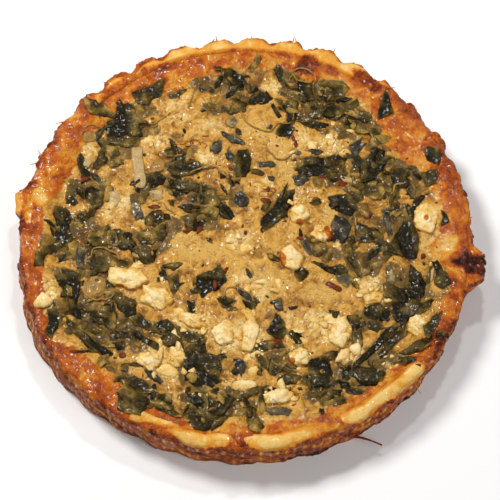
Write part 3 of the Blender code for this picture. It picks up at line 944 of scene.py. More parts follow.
def make_custard(sizes, colours):
    """Closed body of custard with a fine baked skin."""
    count = sizes.custard_cells
    x, y = disc_grid(count, count)
    angle = np.degrees(np.arctan2(y, x))
    rim_x, rim_y = INNER * np.cos(np.radians(angle)), INNER * np.sin(np.radians(angle))
    edge = INNER + np.maximum(overflow_reach(angle, rim_x, rim_y), 0.8) + 1.2
    x, y = x * edge, y * edge
    radius = np.hypot(x, y)
    fine = baked_lumps(x, y)
    settled = 1.0 - 0.6 * smooth_step(INNER - 6.0, INNER + 2.0, radius)
    height = filling_height(x, y) + fine * settled
    height = height - 2.2 * smooth_step(1.6, 0.0, edge - radius)
    lowest, near = leaf_cover()
    cell = ((np.stack([x, y]) + COVER_REACH) / COVER_STEP).astype(int)
    height = np.minimum(height, lowest[cell[0], cell[1]])
    brown = browning(x, y)
    under_skin = blobs(x, y, SHADED, 0.5) * (0.85 + 0.5 * lumps(x, y, 5.0, 63))
    shade = np.maximum(under_skin, 0.75 * near[cell[0], cell[1]])
    values = {
        # Painted shade: height of the skin's small lumps, which colours low places darker and lumps lighter
        "height": np.clip(0.45 * fine, -0.6, 0.6),
        "pool": blobs(x, y, POOLS),
        "cream": blobs(x, y, CREAMY) * (0.75 + 0.35 * lumps(x, y, 4.0, 62)),
        "shade": shade * (1.0 - brown),
        "brown": brown,
        "bake": np.clip(bake_level(x, y, 0.38 + 0.20 * smooth_step(120.0, 136.0, radius)), 0.0, 1.0),
    }
    top = np.stack([x, y, height], 1)
    faces = grid_faces(count, count)
    border = grid_border(count, count)
    skirt = top[border] * (0.94, 0.94, 0.0) + (0.0, 0.0, 6.0)
    start = count * count
    for k in range(len(border)):
        after = (k + 1) % len(border)
        faces.append((border[k], border[after], start + after, start + k))
    faces.append(tuple(range(start, start + len(border))))
    values = {key: np.append(value, np.zeros(len(border))) for key, value in values.items()}
    points = np.concatenate([top, skirt])
    add_piece("custard_skin", points, faces, custard_finish(colours), ["custard_filling"], values)


# ---------------------------------------------------------------- cheese

# Toasted places: x, y, length, width, direction
TOAST = [
    (22, -16, 5, 15, 25), (52, 1, 6, 8, 20), (112, 10, 3, 4, 0), (34, 8, 5, 4, 0), (53, -34, 8, 4, -30),
    (28, -83, 4, 4, 0), (-76, -35, 6, 3, 0), (-57, -26, 8, 3, 20), (-45, -97, 8, 4, -30),
    (-60, -92, 6, 4, 0)]
# Crumbled clusters: x, y, spread across and along, how many
CLUSTERS = [
    (-32, -58, 13, 7, 34), (-13, -66, 8, 10, 26), (2, -62, 7, 16, 34), (-46, -84, 14, 9, 34),
    (32, -60, 10, 9, 24), (46, -58, 10, 10, 24), (56, -66, 8, 11, 18), (57, 66, 8, 10, 16),
    (78, -36, 9, 7, 20), (64, -80, 7, 5, 12), (-120, -40, 6, 10, 12), (-2, -6, 8, 5, 14),
    (6, -34, 9, 4, 14), (20, -105, 10, 5, 14), (-57, 67, 7, 7, 8), (103, -60, 7, 7, 10),
    (33, -82, 7, 7, 12), (-24, -103, 7, 5, 8), (4, -76, 8, 6, 14), (84, -84, 4, 7, 10),
    (-65, -30, 14, 8, 14), (30, 25, 8, 8, 10), (12, 34, 7, 5, 8), (38, 66, 6, 6, 6)]


def cheese_lump(node, seed, directions):
    """Crumbly surface of one cheese piece, from the middle of its node outwards."""
    corners = node_points(node)
    middle = 0.5 * (corners.max(0) + corners.min(0))
    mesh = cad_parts[node].data
    mesh.calc_loop_triangles()
    triangles = [tuple(t.vertices) for t in mesh.loop_triangles]
    tree = BVHTree.FromPolygons([v.co / MM for v in mesh.vertices], triangles)
    reach = np.empty(len(directions))
    for k, way in enumerate(directions):
        hit = tree.ray_cast(Vector(middle), Vector(way))
        reach[k] = hit[3] if hit[3] else 1.0
    points = middle + directions * reach[:, None]
    px, py, pz = points.T
    wobble = 1.1 * rough(px + 31.0 * seed, py + pz, 6.0, 81, 2)
    wobble += 0.45 * rough(px - pz, py + 17.0 * seed, 2.6, 84)
    nearest, second, value = cells(px + 0.8 * pz, py - 0.6 * pz + 13.0 * seed, 3.4, 87)
    wobble += 0.55 * (smooth_step(0.0, 0.4, second - nearest) * (0.4 + value) - 0.5)
    return points + directions * wobble[:, None], wobble


def make_cheese(colours):
    """One crumbly lump for each cheese node, and loose crumbs round them."""
    finish = cheese_finish(colours)
    directions, faces = sphere(5)
    names = sorted(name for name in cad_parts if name.startswith("cheese"))
    for seed, node in enumerate(names, start=1):
        points, wobble = cheese_lump(node, seed, directions)
        x, y, z = points.T
        # Height field: lower part golden from custard film, bumps lighter by painted highlight, crevices
        # darker by painted shade
        values = {"height": np.clip(0.12 * (z - 27.5) + 0.18 * wobble, -0.5, 0.5),
                  "toast": blobs(x, y, TOAST, 0.3)}
        add_piece(node + "_crumbly", points, faces, finish, [node], values)
    make_crumbs(finish)


def make_crumbs(finish):
    """Loose cheese crumbs in clusters, half sunk in the custard."""
    rng = np.random.default_rng(5)
    directions, faces = sphere(3)
    heap = Heap()
    for cx, cy, across, along, count in CLUSTERS:
        for _ in range(int(0.6 * count)):
            x, y = cx + across * rng.normal() * 0.6, cy + along * rng.normal() * 0.6
            size = rng.uniform(0.6, 2.0) + (rng.random() < 0.3) * rng.uniform(0.8, 2.4)
            shape = cut_lump(rng, directions, 7, 0.55) * rng.uniform(0.7, 1.3, 3) * (1.0, 1.0, 0.55)
            bulge = lumps(directions[:, 0] * 3.0 + x, directions[:, 1] * 3.0 + y, 1.0, 88)
            shape = shape * (1.0 + 0.10 * bulge)[:, None]
            here = np.array([x]), np.array([y])
            centre = np.array([x, y, float(surface_height(*here)[0]) - 0.25 * size])
            # Painted highlight: crumb tops lighter and undersides darker
            shine = 0.22 * shape[:, 2] + rng.uniform(-0.15, 0.12)
            heap.add(centre + size * shape, faces, height=shine, toast=0.0)
    heap.piece("cheese_crumbs", finish, slot="cheese")


# ---------------------------------------------------------------- spinach

# Leaves that stand for the fixed model's, in its order: tone in hundredths, then the outline's corners
NODE_LEAVES = [
    (45, -103, 92, -97, 93, -91, 92, -84, 83, -85, 81, -92, 81, -99, 82),
    (10, -81, 96, -78, 91, -73, 90, -71, 86, -69, 77, -62, 77, -66, 71, -65, 68, -76, 69, -87, 68, -88,
     74, -83, 81), (25, -73, 100, -66, 103, -60, 105, -52, 109, -54, 98, -60, 95, -63, 90, -70, 93),
    (3, -16, 117, -9, 117, -2, 113, 1, 108, -3, 104, -9, 100, -11, 106, -14, 112),
    (15, -2, 93, 4, 97, 9, 101, 16, 98, 18, 96, 12, 92, 3, 91),
    (8, 31, 111, 35, 104, 38, 108, 42, 107, 43, 100, 44, 94, 38, 96, 33, 100, 29, 103),
    (40, 46, 105, 52, 107, 62, 107, 66, 102, 62, 97, 55, 98, 48, 95, 45, 99),
    (15, 24, 90, 29, 94, 34, 93, 33, 86, 31, 77, 27, 79, 26, 86),
    (30, 62, 79, 66, 82, 72, 79, 79, 73, 78, 70, 71, 70, 66, 73),
    (14, 31, 52, 34, 51, 45, 53, 60, 54, 62, 50, 60, 43, 48, 41, 36, 40, 31, 45),
    (5, 72, 50, 78, 54, 81, 60, 88, 59, 88, 50, 86, 43, 80, 38, 73, 36, 71, 42),
    (8, 8, 8, 11, 2, 18, 7, 25, 13, 30, 24, 31, 31, 27, 36, 24, 27, 17, 18, 10, 12),
    (12, 52, 25, 58, 27, 66, 26, 69, 18, 66, 13, 60, 14, 54, 19),
    (8, 90, -6, 95, 4, 99, 11, 104, 8, 107, -4, 105, -16, 100, -16, 92, -13),
    (22, -5, 59, 1, 60, 4, 53, 3, 45, 0, 40, -6, 40, -8, 46),
    (40, -34, 26, -28, 29, -20, 30, -14, 22, -18, 19, -26, 21, -33, 23),
    (28, -40, 12, -36, 6, -32, 2, -28, 4, -24, 10, -28, 15, -34, 13),
    (15, -100, 33, -95, 33, -90, 29, -85, 25, -89, 21, -91, 18, -95, 18, -98, 25),
    (12, -117, 18, -110, 17, -108, 12, -109, 4, -107, -1, -110, -8, -114, -6, -118, -1, -117, 8, -119,
     13),
    (10, -116, -23, -108, -24, -101, -27, -101, -37, -102, -45, -107, -46, -108, -38, -113, -34, -116,
     -28),
    (8, -108, -55, -105, -58, -97, -64, -90, -70, -78, -78, -82, -80, -94, -75, -102, -66, -107, -60),
    (10, -30, -28, -26, -26, -20, -25, -16, -21, -13, -25, -12, -31, -16, -36, -22, -38, -26, -42, -30,
     -34),
    (3, -37, -80, -31, -73, -27, -78, -14, -80, -16, -88, -15, -95, -20, -99, -30, -98, -36, -94, -36,
     -86), (35, -75, -103, -71, -100, -62, -103, -57, -106, -58, -113, -61, -118, -70, -116, -76, -114),
    (30, -35, -116, -30, -113, -23, -114, -19, -118, -20, -125, -24, -127, -30, -125, -33, -121),
    (12, 19, -51, 23, -57, 25, -64, 21, -69, 17, -67, 13, -63, 16, -58),
    (5, 38, -82, 44, -80, 50, -84, 52, -90, 50, -98, 42, -100, 37, -92),
    (3, 101, -20, 106, -26, 110, -32, 109, -40, 104, -45, 99, -40, 100, -30),
    (2, 94, -58, 91, -63, 82, -72, 72, -82, 63, -89, 65, -84, 75, -74, 85, -62),
    (30, 92, -78, 97, -76, 103, -70, 112, -68, 110, -74, 104, -78, 96, -81)]
# Further leaves, made by the scene alone
MORE_LEAVES = [
    (40, -88, 68, -66, 68, -68, 62, -75, 60, -84, 62, -88, 64),
    (45, -88, 64, -81, 60, -79, 55, -85, 53, -89, 57),
    (15, -106, 52, -103, 56, -99, 45, -97, 40, -101, 38, -105, 46),
    (25, -95, 64, -90, 67, -86, 62, -90, 59), (15, -96, 70, -89, 76, -86, 77, -90, 71, -94, 64),
    (55, -90, 53, -78, 52, -76, 49, -84, 46), (15, -22, 118, -16, 119, -15, 116, -20, 116),
    (50, 1, 118, 5, 122, 8, 127, 11, 124, 8, 119, 4, 116), (15, 3, 100, 6, 105, 10, 102, 8, 98),
    (15, 18, 116, 21, 120, 24, 116, 24, 110, 29, 103, 27, 101, 22, 107),
    (2, 34, 99, 40, 95, 50, 88, 57, 84, 54, 81, 44, 87, 36, 93),
    (15, 19, 70, 22, 76, 28, 79, 31, 74, 28, 67, 22, 68), (0, 15, 93, 18, 92, 24, 81, 21, 80),
    (10, 35, 80, 38, 82, 44, 79, 53, 77, 51, 74, 42, 74, 36, 77),
    (30, 39, 84, 44, 87, 50, 86, 48, 81, 42, 81),
    (25, -49, 44, -46, 48, -40, 52, -32, 48, -28, 44, -35, 41, -44, 40),
    (40, -50, 58, -43, 60, -38, 57, -37, 54, -44, 53, -50, 54), (2, 52, 95, 57, 95, 57, 92, 52, 91),
    (10, 47, 86, 52, 91, 60, 90, 63, 84, 57, 80, 50, 82),
    (35, 60, 92, 67, 92, 72, 96, 72, 91, 68, 86, 62, 87),
    (5, 63, 85, 70, 83, 77, 80, 76, 77, 70, 80, 64, 82),
    (35, 77, 74, 83, 74, 87, 68, 86, 62, 82, 64, 79, 70),
    (15, 50, 53, 58, 55, 64, 53, 62, 48, 56, 47, 50, 47), (10, 92, 44, 99, 47, 103, 42, 98, 38, 91, 40),
    (5, 89, 99, 92, 96, 93, 88, 94, 83, 84, 80, 85, 86),
    (15, 113, 56, 115, 59, 122, 58, 123, 52, 122, 46, 114, 50), (25, -97, 19, -93, 17, -94, 13, -97, 13),
    (15, -111, 31, -109, 28, -104, 22, -107, 20, -112, 24),
    (8, -108, -5, -106, -7, -111, -15, -117, -22, -113, -15), (20, -104, 15, -100, 14, -101, 9, -105, 11),
    (35, -96, 2, -90, 4, -86, 2, -86, -8, -93, -8, -97, -4),
    (30, -82, 3, -77, 4, -74, -6, -80, -8, -83, -3), (50, -86, 2, -80, 2, -78, -7, -84, -9),
    (12, -77, -4, -70, -2, -66, -7, -74, -11, -78, -9), (45, -68, 0, -60, 3, -55, 0, -57, -5, -64, -7),
    (33, -60, 2, -50, 8, -48, 0, -52, -5, -58, -4),
    (20, -62, 12, -58, 17, -52, 16, -50, 9, -54, 6, -62, 7),
    (12, -64, 36, -60, 42, -54, 43, -50, 39, -52, 34, -58, 32),
    (40, -98, -18, -88, -12, -78, -16, -70, -18, -74, -24, -88, -25, -96, -22),
    (40, -128, -12, -122, -14, -123, -23, -129, -23),
    (25, -71, -10, -62, -7, -55, -10, -55, -18, -62, -20, -68, -18),
    (22, -80, -42, -72, -41, -66, -44, -66, -52, -71, -55, -77, -49),
    (20, -50, 40, -47, 36, -40, 36, -30, 35, -20, 31, -24, 27, -34, 30, -45, 31),
    (50, -30, 18, -22, 20, -16, 17, -18, 10, -26, 10),
    (5, -17, 17, -14, 21, -10, 19, -6, 13, -9, 10, -15, 12), (10, -49, 31, -46, 32, -38, 24, -41, 23),
    (30, -48, 24, -45, 24, -44, 19, -47, 20), (8, -42, 19, -35, 21, -28, 20, -28, 18, -38, 17),
    (5, -51, 14, -47, 14, -46, 10, -50, 9), (10, 40, 22, 45, 26, 48, 22, 43, 20),
    (45, 36, 1, 44, -4, 51, -8, 49, -14, 42, -14, 40, -7),
    (4, 40, -18, 46, -18, 55, -24, 54, -27, 46, -22), (30, 12, -12, 16, -12, 22, -16, 21, -18, 15, -17),
    (20, 29, -24, 36, -22, 39, -25, 37, -30, 32, -31),
    (15, -52, -20, -46, -23, -40, -18, -38, -20, -44, -25, -50, -23),
    (33, -48, -28, -41, -26, -40, -36, -44, -40, -46, -34), (8, -54, -25, -49, -24, -47, -30, -50, -31),
    (20, -18, -43, -12, -41, -5, -44, -10, -46), (20, 52, 20, 56, 27, 58, 20, 54, 17),
    (35, 50, 43, 58, 46, 68, 43, 68, 39, 58, 38, 52, 37),
    (50, 74, 33, 86, 35, 88, 30, 84, 24, 79, 24, 74, 28),
    (50, 60, 31, 64, 33, 72, 30, 74, 25, 68, 20, 66, 27),
    (10, 92, 43, 97, 46, 101, 42, 104, 34, 98, 32, 92, 34), (33, 90, 34, 97, 32, 92, 24, 91, 18, 89, 26),
    (2, 50, -3, 54, 2, 58, -1, 55, -5), (18, 68, 9, 74, 6, 82, 4, 86, -1, 82, -5, 70, -5, 68, 1),
    (28, 80, -3, 87, -5, 92, -10, 92, -14, 85, -14, 81, -10), (35, 62, -4, 66, -3, 67, -18, 62, -12),
    (8, 74, -18, 80, -14, 84, -10, 82, -8, 77, -13), (20, 63, -14, 66, -17, 72, -26, 70, -30, 66, -24),
    (20, 50, -22, 58, -20, 63, -24, 60, -28, 52, -26),
    (18, 114, -18, 118, -17, 121, -25, 125, -33, 119, -38, 115, -33, 117, -25),
    (42, 112, -20, 115, -19, 113, -33, 110, -36, 111, -27),
    (33, 84, -34, 90, -33, 97, -36, 98, -42, 92, -45, 85, -43),
    (4, 104, 22, 108, 26, 114, 28, 110, 23, 106, 17, 104, 10, 103, 16),
    (8, 121, 16, 125, 12, 126, 7, 121, 5, 122, 10), (33, 110, 42, 120, 44, 120, 34, 113, 33),
    (12, -119, -52, -113, -51, -110, -55, -113, -64, -116, -70, -120, -66, -118, -58),
    (28, -100, -51, -90, -50, -80, -46, -78, -56, -84, -56, -92, -54),
    (15, -88, -48, -82, -44, -78, -52, -78, -60, -80, -65, -85, -60),
    (40, -93, -61, -88, -60, -84, -65, -90, -66), (8, -107, -47, -101, -46, -98, -56, -104, -55),
    (12, -70, -63, -67, -62, -52, -72, -52, -76, -62, -71),
    (33, -70, -55, -62, -53, -56, -60, -50, -66, -56, -64, -66, -60),
    (15, -80, -71, -73, -70, -72, -75, -77, -76),
    (8, -105, -78, -100, -79, -92, -77, -86, -77, -92, -76, -99, -77),
    (40, -74, -84, -69, -83, -70, -90, -74, -89),
    (33, -73, -96, -66, -92, -58, -96, -52, -102, -60, -103, -70, -100),
    (25, -56, -109, -50, -107, -44, -112, -36, -118, -42, -118, -52, -114),
    (8, -54, -58, -47, -56, -43, -60, -44, -66, -52, -65, -55, -61),
    (20, -50, -66, -44, -64, -38, -70, -36, -76, -42, -75, -49, -72),
    (28, -42, -60, -36, -62, -28, -66, -23, -68, -26, -72, -34, -71, -41, -66),
    (15, -35, -44, -31, -44, -30, -50, -33, -55, -35, -50),
    (24, -34, -72, -24, -71, -23, -77, -30, -79, -37, -77),
    (10, -17, -106, -10, -103, -6, -106, -10, -112, -13, -118, -20, -116, -17, -111),
    (33, -19, -118, -10, -118, -14, -123, -20, -127, -19, -121),
    (38, -9, -105, -2, -102, 8, -98, 16, -97, 10, -100, 4, -105, -3, -109),
    (33, 13, -86, 15, -81, 20, -80, 25, -84, 22, -88, 17, -92, 14, -91),
    (33, 18, -94, 26, -90, 34, -92, 30, -97, 22, -98), (50, 6, -84, 9, -84, 10, -91, 7, -91),
    (14, 26, -64, 31, -63, 36, -68, 33, -73, 28, -69),
    (33, 5, -72, 12, -70, 22, -70, 24, -74, 14, -75, 8, -79),
    (28, 44, -82, 50, -77, 56, -76, 56, -80, 50, -83), (38, 1, -119, 8, -118, 12, -124, 8, -128, 2, -126),
    (14, -17, -43, -10, -46, -4, -50, -10, -51, -14, -48), (18, -2, -43, 2, -45, 8, -44, 5, -50, 1, -49),
    (8, 26, -48, 32, -47, 32, -49, 27, -50), (14, 50, -49, 57, -51, 55, -56, 52, -55),
    (18, 45, -103, 52, -101, 58, -101, 56, -106, 47, -107), (4, 55, -94, 62, -96, 63, -100, 57, -100),
    (28, -50, -103, -44, -103, -43, -109, -49, -108),
    (10, 72, -48, 80, -46, 88, -50, 86, -57, 78, -57, 73, -54),
    (33, 75, -56, 80, -56, 84, -61, 78, -65, 74, -62),
    (5, 89, -44, 99, -42, 107, -46, 103, -53, 96, -58, 92, -60, 89, -52),
    (24, 101, -53, 108, -45, 114, -43, 111, -50, 106, -53),
    (13, 97, -62, 97, -66, 90, -72, 82, -81, 79, -80, 84, -72, 92, -63),
    (18, 61, -54, 68, -53, 71, -60, 66, -64, 62, -60), (38, 63, -64, 70, -62, 71, -72, 66, -78, 64, -72),
    (24, 91, -81, 99, -81, 104, -82, 98, -86, 91, -85),
    (24, 107, -62, 115, -54, 119, -52, 115, -62, 110, -70, 108, -68),
    (8, 115, -66, 121, -65, 117, -70, 114, -70), (13, 100, -86, 104, -86, 106, -89, 101, -89),
    (6, 58, -88, 68, -86, 80, -88, 84, -90, 80, -95, 77, -99, 66, -99, 58, -97),
    (28, 58, -102, 65, -100, 73, -103, 66, -105), (38, 50, -108, 58, -105, 60, -110, 52, -112)]
# Blue-grey stalk pieces
GREY_LEAVES = [
    (25, 30, 58, 35, 57, 35, 54, 31, 55), (25, 39, 58, 44, 60, 49, 57, 45, 54),
    (20, -23, 58, -20, 65, -15, 66, -15, 58, -19, 56),
    (20, -17, 72, -14, 72, -2, 66, 0, 61, -4, 63, -9, 64),
    (15, -13, 56, -10, 58, -6, 54, -8, 50, -12, 52), (20, 7, 50, 18, 51, 19, 47, 8, 46),
    (20, 13, 74, 16, 77, 18, 76, 16, 73), (25, -49, 99, -44, 99, -44, 96, -48, 95),
    (60, -12, 80, -7, 83, -4, 79, -8, 75, -12, 76),
    (15, 62, 57, 66, 62, 72, 63, 75, 68, 77, 63, 72, 58, 70, 54, 64, 53),
    (15, 67, 51, 72, 52, 72, 47, 68, 46), (35, -71, 24, -66, 22, -63, 12, -68, 10, -71, 15),
    (15, -104, -9, -98, -9, -99, -22, -103, -24, -104, -16), (75, -60, 30, -52, 31, -51, 24, -58, 23),
    (5, -6, 28, -2, 29, 2, 25, 1, 19, -4, 19, -7, 23), (25, 14, 40, 19, 40, 18, 36, 15, 37),
    (15, 30, 40, 36, 42, 40, 38, 34, 33, 31, 35), (15, 34, -4, 37, -3, 41, -10, 40, -14, 36, -8),
    (15, -6, -34, -1, -36, 6, -42, 10, -45, 4, -45, -3, -40), (20, 0, -22, 3, -24, 5, -29, 2, -29),
    (20, 16, -44, 22, -42, 23, -50, 19, -50), (25, 85, 18, 88, 19, 90, 10, 91, 0, 88, -2, 86, 8),
    (10, 56, 13, 62, 11, 66, 6, 63, -2, 60, -7, 56, -3, 53, 6),
    (45, 55, -27, 62, -26, 66, -31, 62, -35, 56, -31), (50, 86, -20, 90, -22, 92, -28, 90, -33, 86, -32),
    (10, -60, -88, -56, -87, -48, -95, -51, -97, -58, -92),
    (5, -34, -103, -28, -103, -24, -108, -30, -110, -34, -107),
    (5, -7, -81, -1, -82, 1, -86, -2, -92, -5, -88),
    (45, 12, -113, 20, -111, 28, -113, 26, -117, 14, -117), (20, -98, 43, -93, 42, -90, 36, -95, 38)]


# Every leaf, once all_leaves has worked them out
LEAVES = []
# Half side and step of the grid that notes where leaves lie
COVER_REACH, COVER_STEP = 150.0, 0.75
LEAF_THICKNESS = 0.45


def leaf_shape(corners, seed, fold, pitch=0.62):
    """Points, faces, folds and edge distance of one crumpled piece of leaf with an outline."""
    corners = np.asarray(corners, float)
    rng = np.random.default_rng(seed)
    after = np.roll(corners, -1, 0)
    area = corners[:, 0] * after[:, 1] - corners[:, 1] * after[:, 0]
    centre = ((corners + after) * area[:, None]).sum(0) / (3.0 * area.sum())
    ways = np.linalg.svd(corners - centre)[2]
    own = (corners - centre) @ ways.T
    half = np.abs(own).max(0)
    own = own / half
    turns = np.degrees(np.arctan2(own[:, 1], own[:, 0])) % 360.0
    outline = sorted(zip(turns, np.hypot(own[:, 0], own[:, 1])))
    rows = max(7, int(2.0 * half[0] / pitch))
    columns = max(6, int(2.0 * half[1] / pitch))
    u, v = disc_grid(rows, columns)
    turn = np.degrees(np.arctan2(v, u)) % 360.0
    steady = 3.0 * seed + 0.0 * turn
    reach = polygon_reach(turn, outline) * (1.05 + 0.06 * lumps(turn / 9.0, 2.3 * steady, 1.0, 93))
    along, across = half[0] * u * reach, half[1] * v * reach
    px, py = (centre + np.stack([along, across], 1) @ ways).T
    creased = leaf_creases(rng, along, across, half[1])
    wrinkle = 1.0 - 2.0 * np.abs(lumps((along + 50.0 * seed) / 2.0, across, 2.2, 98))
    folds = fold * (creased + 0.30 * wrinkle + 0.25 * lumps(px, py, 1.5, 99))
    border = (1.0 - np.hypot(u, v)) * min(half[0], 1.6 * half[1])
    dive = np.exp(-((border / 0.8) ** 2)) * (0.75 + 0.75 * lumps(turn / 25.0, steady, 1.0, 101))
    height = filling_height(px, py) + 0.4 * rough(px, py, 9.0, 35) + 0.95 + 0.95 * folds - dive
    upper = np.stack([px, py, height], 1)
    lower = upper - (0.0, 0.0, LEAF_THICKNESS)
    return np.concatenate([upper, lower]), slab_faces(rows, columns), np.tile(folds, 2), np.tile(border, 2)


def leaf_creases(rng, along, across, half_width):
    """Sharp folds across a leaf, each along a random line."""
    creased = np.zeros(len(along))
    for _ in range(5):
        way = rng.normal() * 0.7
        line = across * math.cos(way) - along * math.sin(way) - rng.uniform(-0.7, 0.7) * half_width
        creased = creased + rng.uniform(0.15, 0.5) * rng.choice((-1.0, 1.0)) * np.abs(line)
    return 1.5 * np.tanh((creased - creased.mean()) / 1.5)


def random_outline(rng, x, y, length, width, direction):
    """Corners of a small torn piece."""
    count = int(rng.integers(5, 8))
    turns = np.radians((np.arange(count) + rng.uniform(-0.3, 0.3, count)) * 360.0 / count)
    reach = rng.uniform(0.75, 1.2, count)
    ends = placed(x, y, direction, 0.5 * length * reach * np.cos(turns), 0.5 * width * reach * np.sin(turns))
    return np.stack(ends, 1)


def all_leaves():
    """Every leaf piece as kind (a node's name, scrap or stalk), points, faces, tones and edge distances."""
    if LEAVES:
        return LEAVES
    names = sorted(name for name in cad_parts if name.startswith("spinach"))
    for number, (node, (tone, *flat)) in enumerate(zip(names, NODE_LEAVES), start=1):
        add_leaf(node, np.reshape(flat, (-1, 2)), number, 0.01 * tone, 1.0)
    for number, (tone, *flat) in enumerate(MORE_LEAVES, start=50):
        add_leaf("scrap", np.reshape(flat, (-1, 2)), number, 0.01 * tone, 0.85, pitch=0.8)
    for number, (tone, *flat) in enumerate(GREY_LEAVES, start=200):
        add_leaf("stalk", np.reshape(flat, (-1, 2)), number, 0.01 * tone, 0.35)
    add_loose_leaves()
    return LEAVES


# Loose leaves, kind by kind: tries, lengths, widths, tones, share kept inside and outside the shaded
# places, and lift
LOOSE = [
    (520, (8.0, 18.0), (4.0, 8.0), (0.2, 0.75), 0.8, 0.0, -0.5),
    (560, (4.0, 12.0), (2.0, 5.0), (0.0, 0.35), 0.6, 0.12, 0.1),
    (300, (1.6, 5.0), (1.0, 2.5), (0.0, 0.4), 0.6, 0.45, 0.0)]


def add_loose_leaves():
    """Crowd smaller and filmed leaf into the shaded places, and strew a little elsewhere."""
    rng = np.random.default_rng(17)
    number = 300
    for tries, lengths, widths, tones, inside, outside, lift in LOOSE:
        radius = TOPPING_REACH * np.sqrt(rng.random(tries))
        turn = rng.uniform(0.0, 2.0 * math.pi, tries)
        x, y = radius * np.cos(turn), radius * np.sin(turn)
        clear = (blobs(x, y, POOLS) < 0.4) & (blobs(x, y, CREAMY) < 0.5) & (browning(x, y) < 0.3)
        clear &= np.hypot(x - STALK_END[0], y - STALK_END[1]) > 6.0
        kept = clear & (rng.random(tries) < outside + (inside - outside) * blobs(x, y, SHADED))
        for k in np.nonzero(kept)[0]:
            number += 1
            size = rng.uniform(*lengths), rng.uniform(*widths), rng.uniform(0.0, 180.0)
            corners = random_outline(rng, x[k], y[k], *size)
            add_leaf("scrap", corners, number, rng.uniform(*tones), 0.8, lift, 1.15)


def add_leaf(kind, corners, seed, tone, fold, lift=0.0, pitch=0.62):
    """Work out one leaf piece and note it."""
    points, faces, folds, border = leaf_shape(corners, seed, fold, pitch)
    points[:, 2] += lift
    LEAVES.append((kind, points, faces, leaf_tone(tone, folds, border, points), border))


def polygon_reach(turn, corners):
    """Distance from the middle to the outline, along each direction in degrees."""
    angles = np.radians([a for a, _ in corners])
    points = np.array([(r * math.cos(a), r * math.sin(a)) for a, (_, r) in zip(angles, corners)])
    after = np.searchsorted([a for a, _ in corners], turn) % len(corners)
    start, end = points[after - 1], points[after]
    edge = end - start
    way = np.stack([np.cos(np.radians(turn)), np.sin(np.radians(turn))], 1)
    span = way[:, 0] * edge[:, 1] - way[:, 1] * edge[:, 0]
    return np.clip((start[:, 0] * edge[:, 1] - start[:, 1] * edge[:, 0]) / span, 0.2, 1.5)


def leaf_tone(tone, folds, border, points):
    """Tone of a leaf: painted highlight makes raised folds lighter and painted shade makes the hollows
    darker; filmed patches are lighter, and some edges are lighter from custard film and a painted rim
    highlight.
    """
    x, y = points[:, 0], points[:, 1]
    film = 0.35 * smooth_step(0.2, 0.8, lumps(x, y, 5.0, 105))
    # Lighter edges: partly custard film, partly a painted rim highlight
    edge = 0.40 * np.exp(-((border / 0.9) ** 2)) * smooth_step(-0.2, 0.5, lumps(x, y, 4.0, 107))
    # Painted highlight and shade: raised folds lift the tone, hollows lower it
    return np.clip(tone + 0.15 * folds + film + edge + 0.10 * lumps(x, y, 2.0, 106), 0.0, 1.0)


def leaf_cover():
    """Height that the leaves leave free for the custard, and how near a leaf is, on a square grid."""
    size = int(2 * COVER_REACH / COVER_STEP)
    lowest, near = np.full((size, size), 99.0), np.zeros((size, size))
    for kind, points, faces, tone, border in all_leaves():
        inner = border[:len(border) // 2] > 0.7
        spots = points[:len(points) // 2][inner]
        cell = ((spots[:, :2] + COVER_REACH) / COVER_STEP).astype(int)
        for di, dj in ((0, 0), (1, 0), (0, 1), (1, 1)):
            np.minimum.at(lowest, (cell[:, 0] + di, cell[:, 1] + dj), spots[:, 2] - 0.7)
            near[cell[:, 0] + di, cell[:, 1] + dj] = 1.0
    for _ in range(2):
        for axis in (0, 1):
            near = sum(np.roll(near, step, axis) for step in range(-2, 3)) / 5.0
    return lowest, near


def make_spinach(colours):
    """One crumpled leaf for each node, then smaller scraps and grey bits."""
    finish = leaf_finish(colours)
    heaps = {"scrap": Heap(), "stalk": Heap()}
    for kind, points, faces, tone, border in all_leaves():
        if kind in heaps:
            heaps[kind].add(points, faces, tone=tone)
        else:
            add_piece(kind + "_wilted", points, faces, finish, [kind], {"tone": tone})
    heaps["scrap"].piece("spinach_scraps", finish, slot="spinach")
    grey_finish = leaf_finish(colours, "grey_spinach_stalk", grey=True)
    heaps["stalk"].piece("spinach_stalks", grey_finish, slot="spinach")


# ---------------------------------------------------------------- onion

# Outlines of pale flat pieces
PALE_FLAKES = [
    (57, 41, 66, 40, 70, 35, 62, 36), (-86, 29, -80, 30, -77, 24, -84, 15),
    (-103, 48, -99, 56, -96, 50, -99, 46), (-60, 30, -52, 31, -51, 24, -58, 23),
    (112, -24, 116, -22, 114, -32, 111, -30)]
# Curved slivers of onion: x, y, radius, start and end degrees, width, lift
SLIVERS = [
    (-87, -22, 12, 25, 150, 1.5, 1.6), (-88, -35, 9, 150, 330, 1.6, 0.9), (-57, 8, 14, 20, 80, 1.4, 0.6),
    (-96, 68, 7, 0, 300, 0.9, 0.6), (-38, 42, 12, 60, 150, 1.3, 0.7), (78, 16, 12, 200, 300, 1.5, 0.8),
    (36, 110, 7, 20, 200, 1.2, 1.2), (100, 22, 12, 90, 200, 1.4, 0.8), (-24, 33, 14, 20, 140, 1.6, 1.2),
    (-57, 100, 22, 330, 20, 1.2, 0.4), (13, 92, 19, 200, 350, 1.3, 0.6),
    (-60, 92, 14, 230, 330, 1.3, 0.6), (24, 64, 11, 200, 330, 1.4, 0.7), (-5, -48, 12, 20, 150, 1.3, 0.8),
    (40, 118, 10, 200, 300, 1.2, 0.5)]


# Tangles of fried skin: x, y, spread across and along, how many loops
CURLS = [(-34, 64, 9, 6, 12), (14, 31, 5, 4, 5), (-8, 46, 5, 3, 4), (-38, 24, 6, 3, 5), (28, -103, 7, 4, 6),
         (-97, -2, 4, 7, 5)]


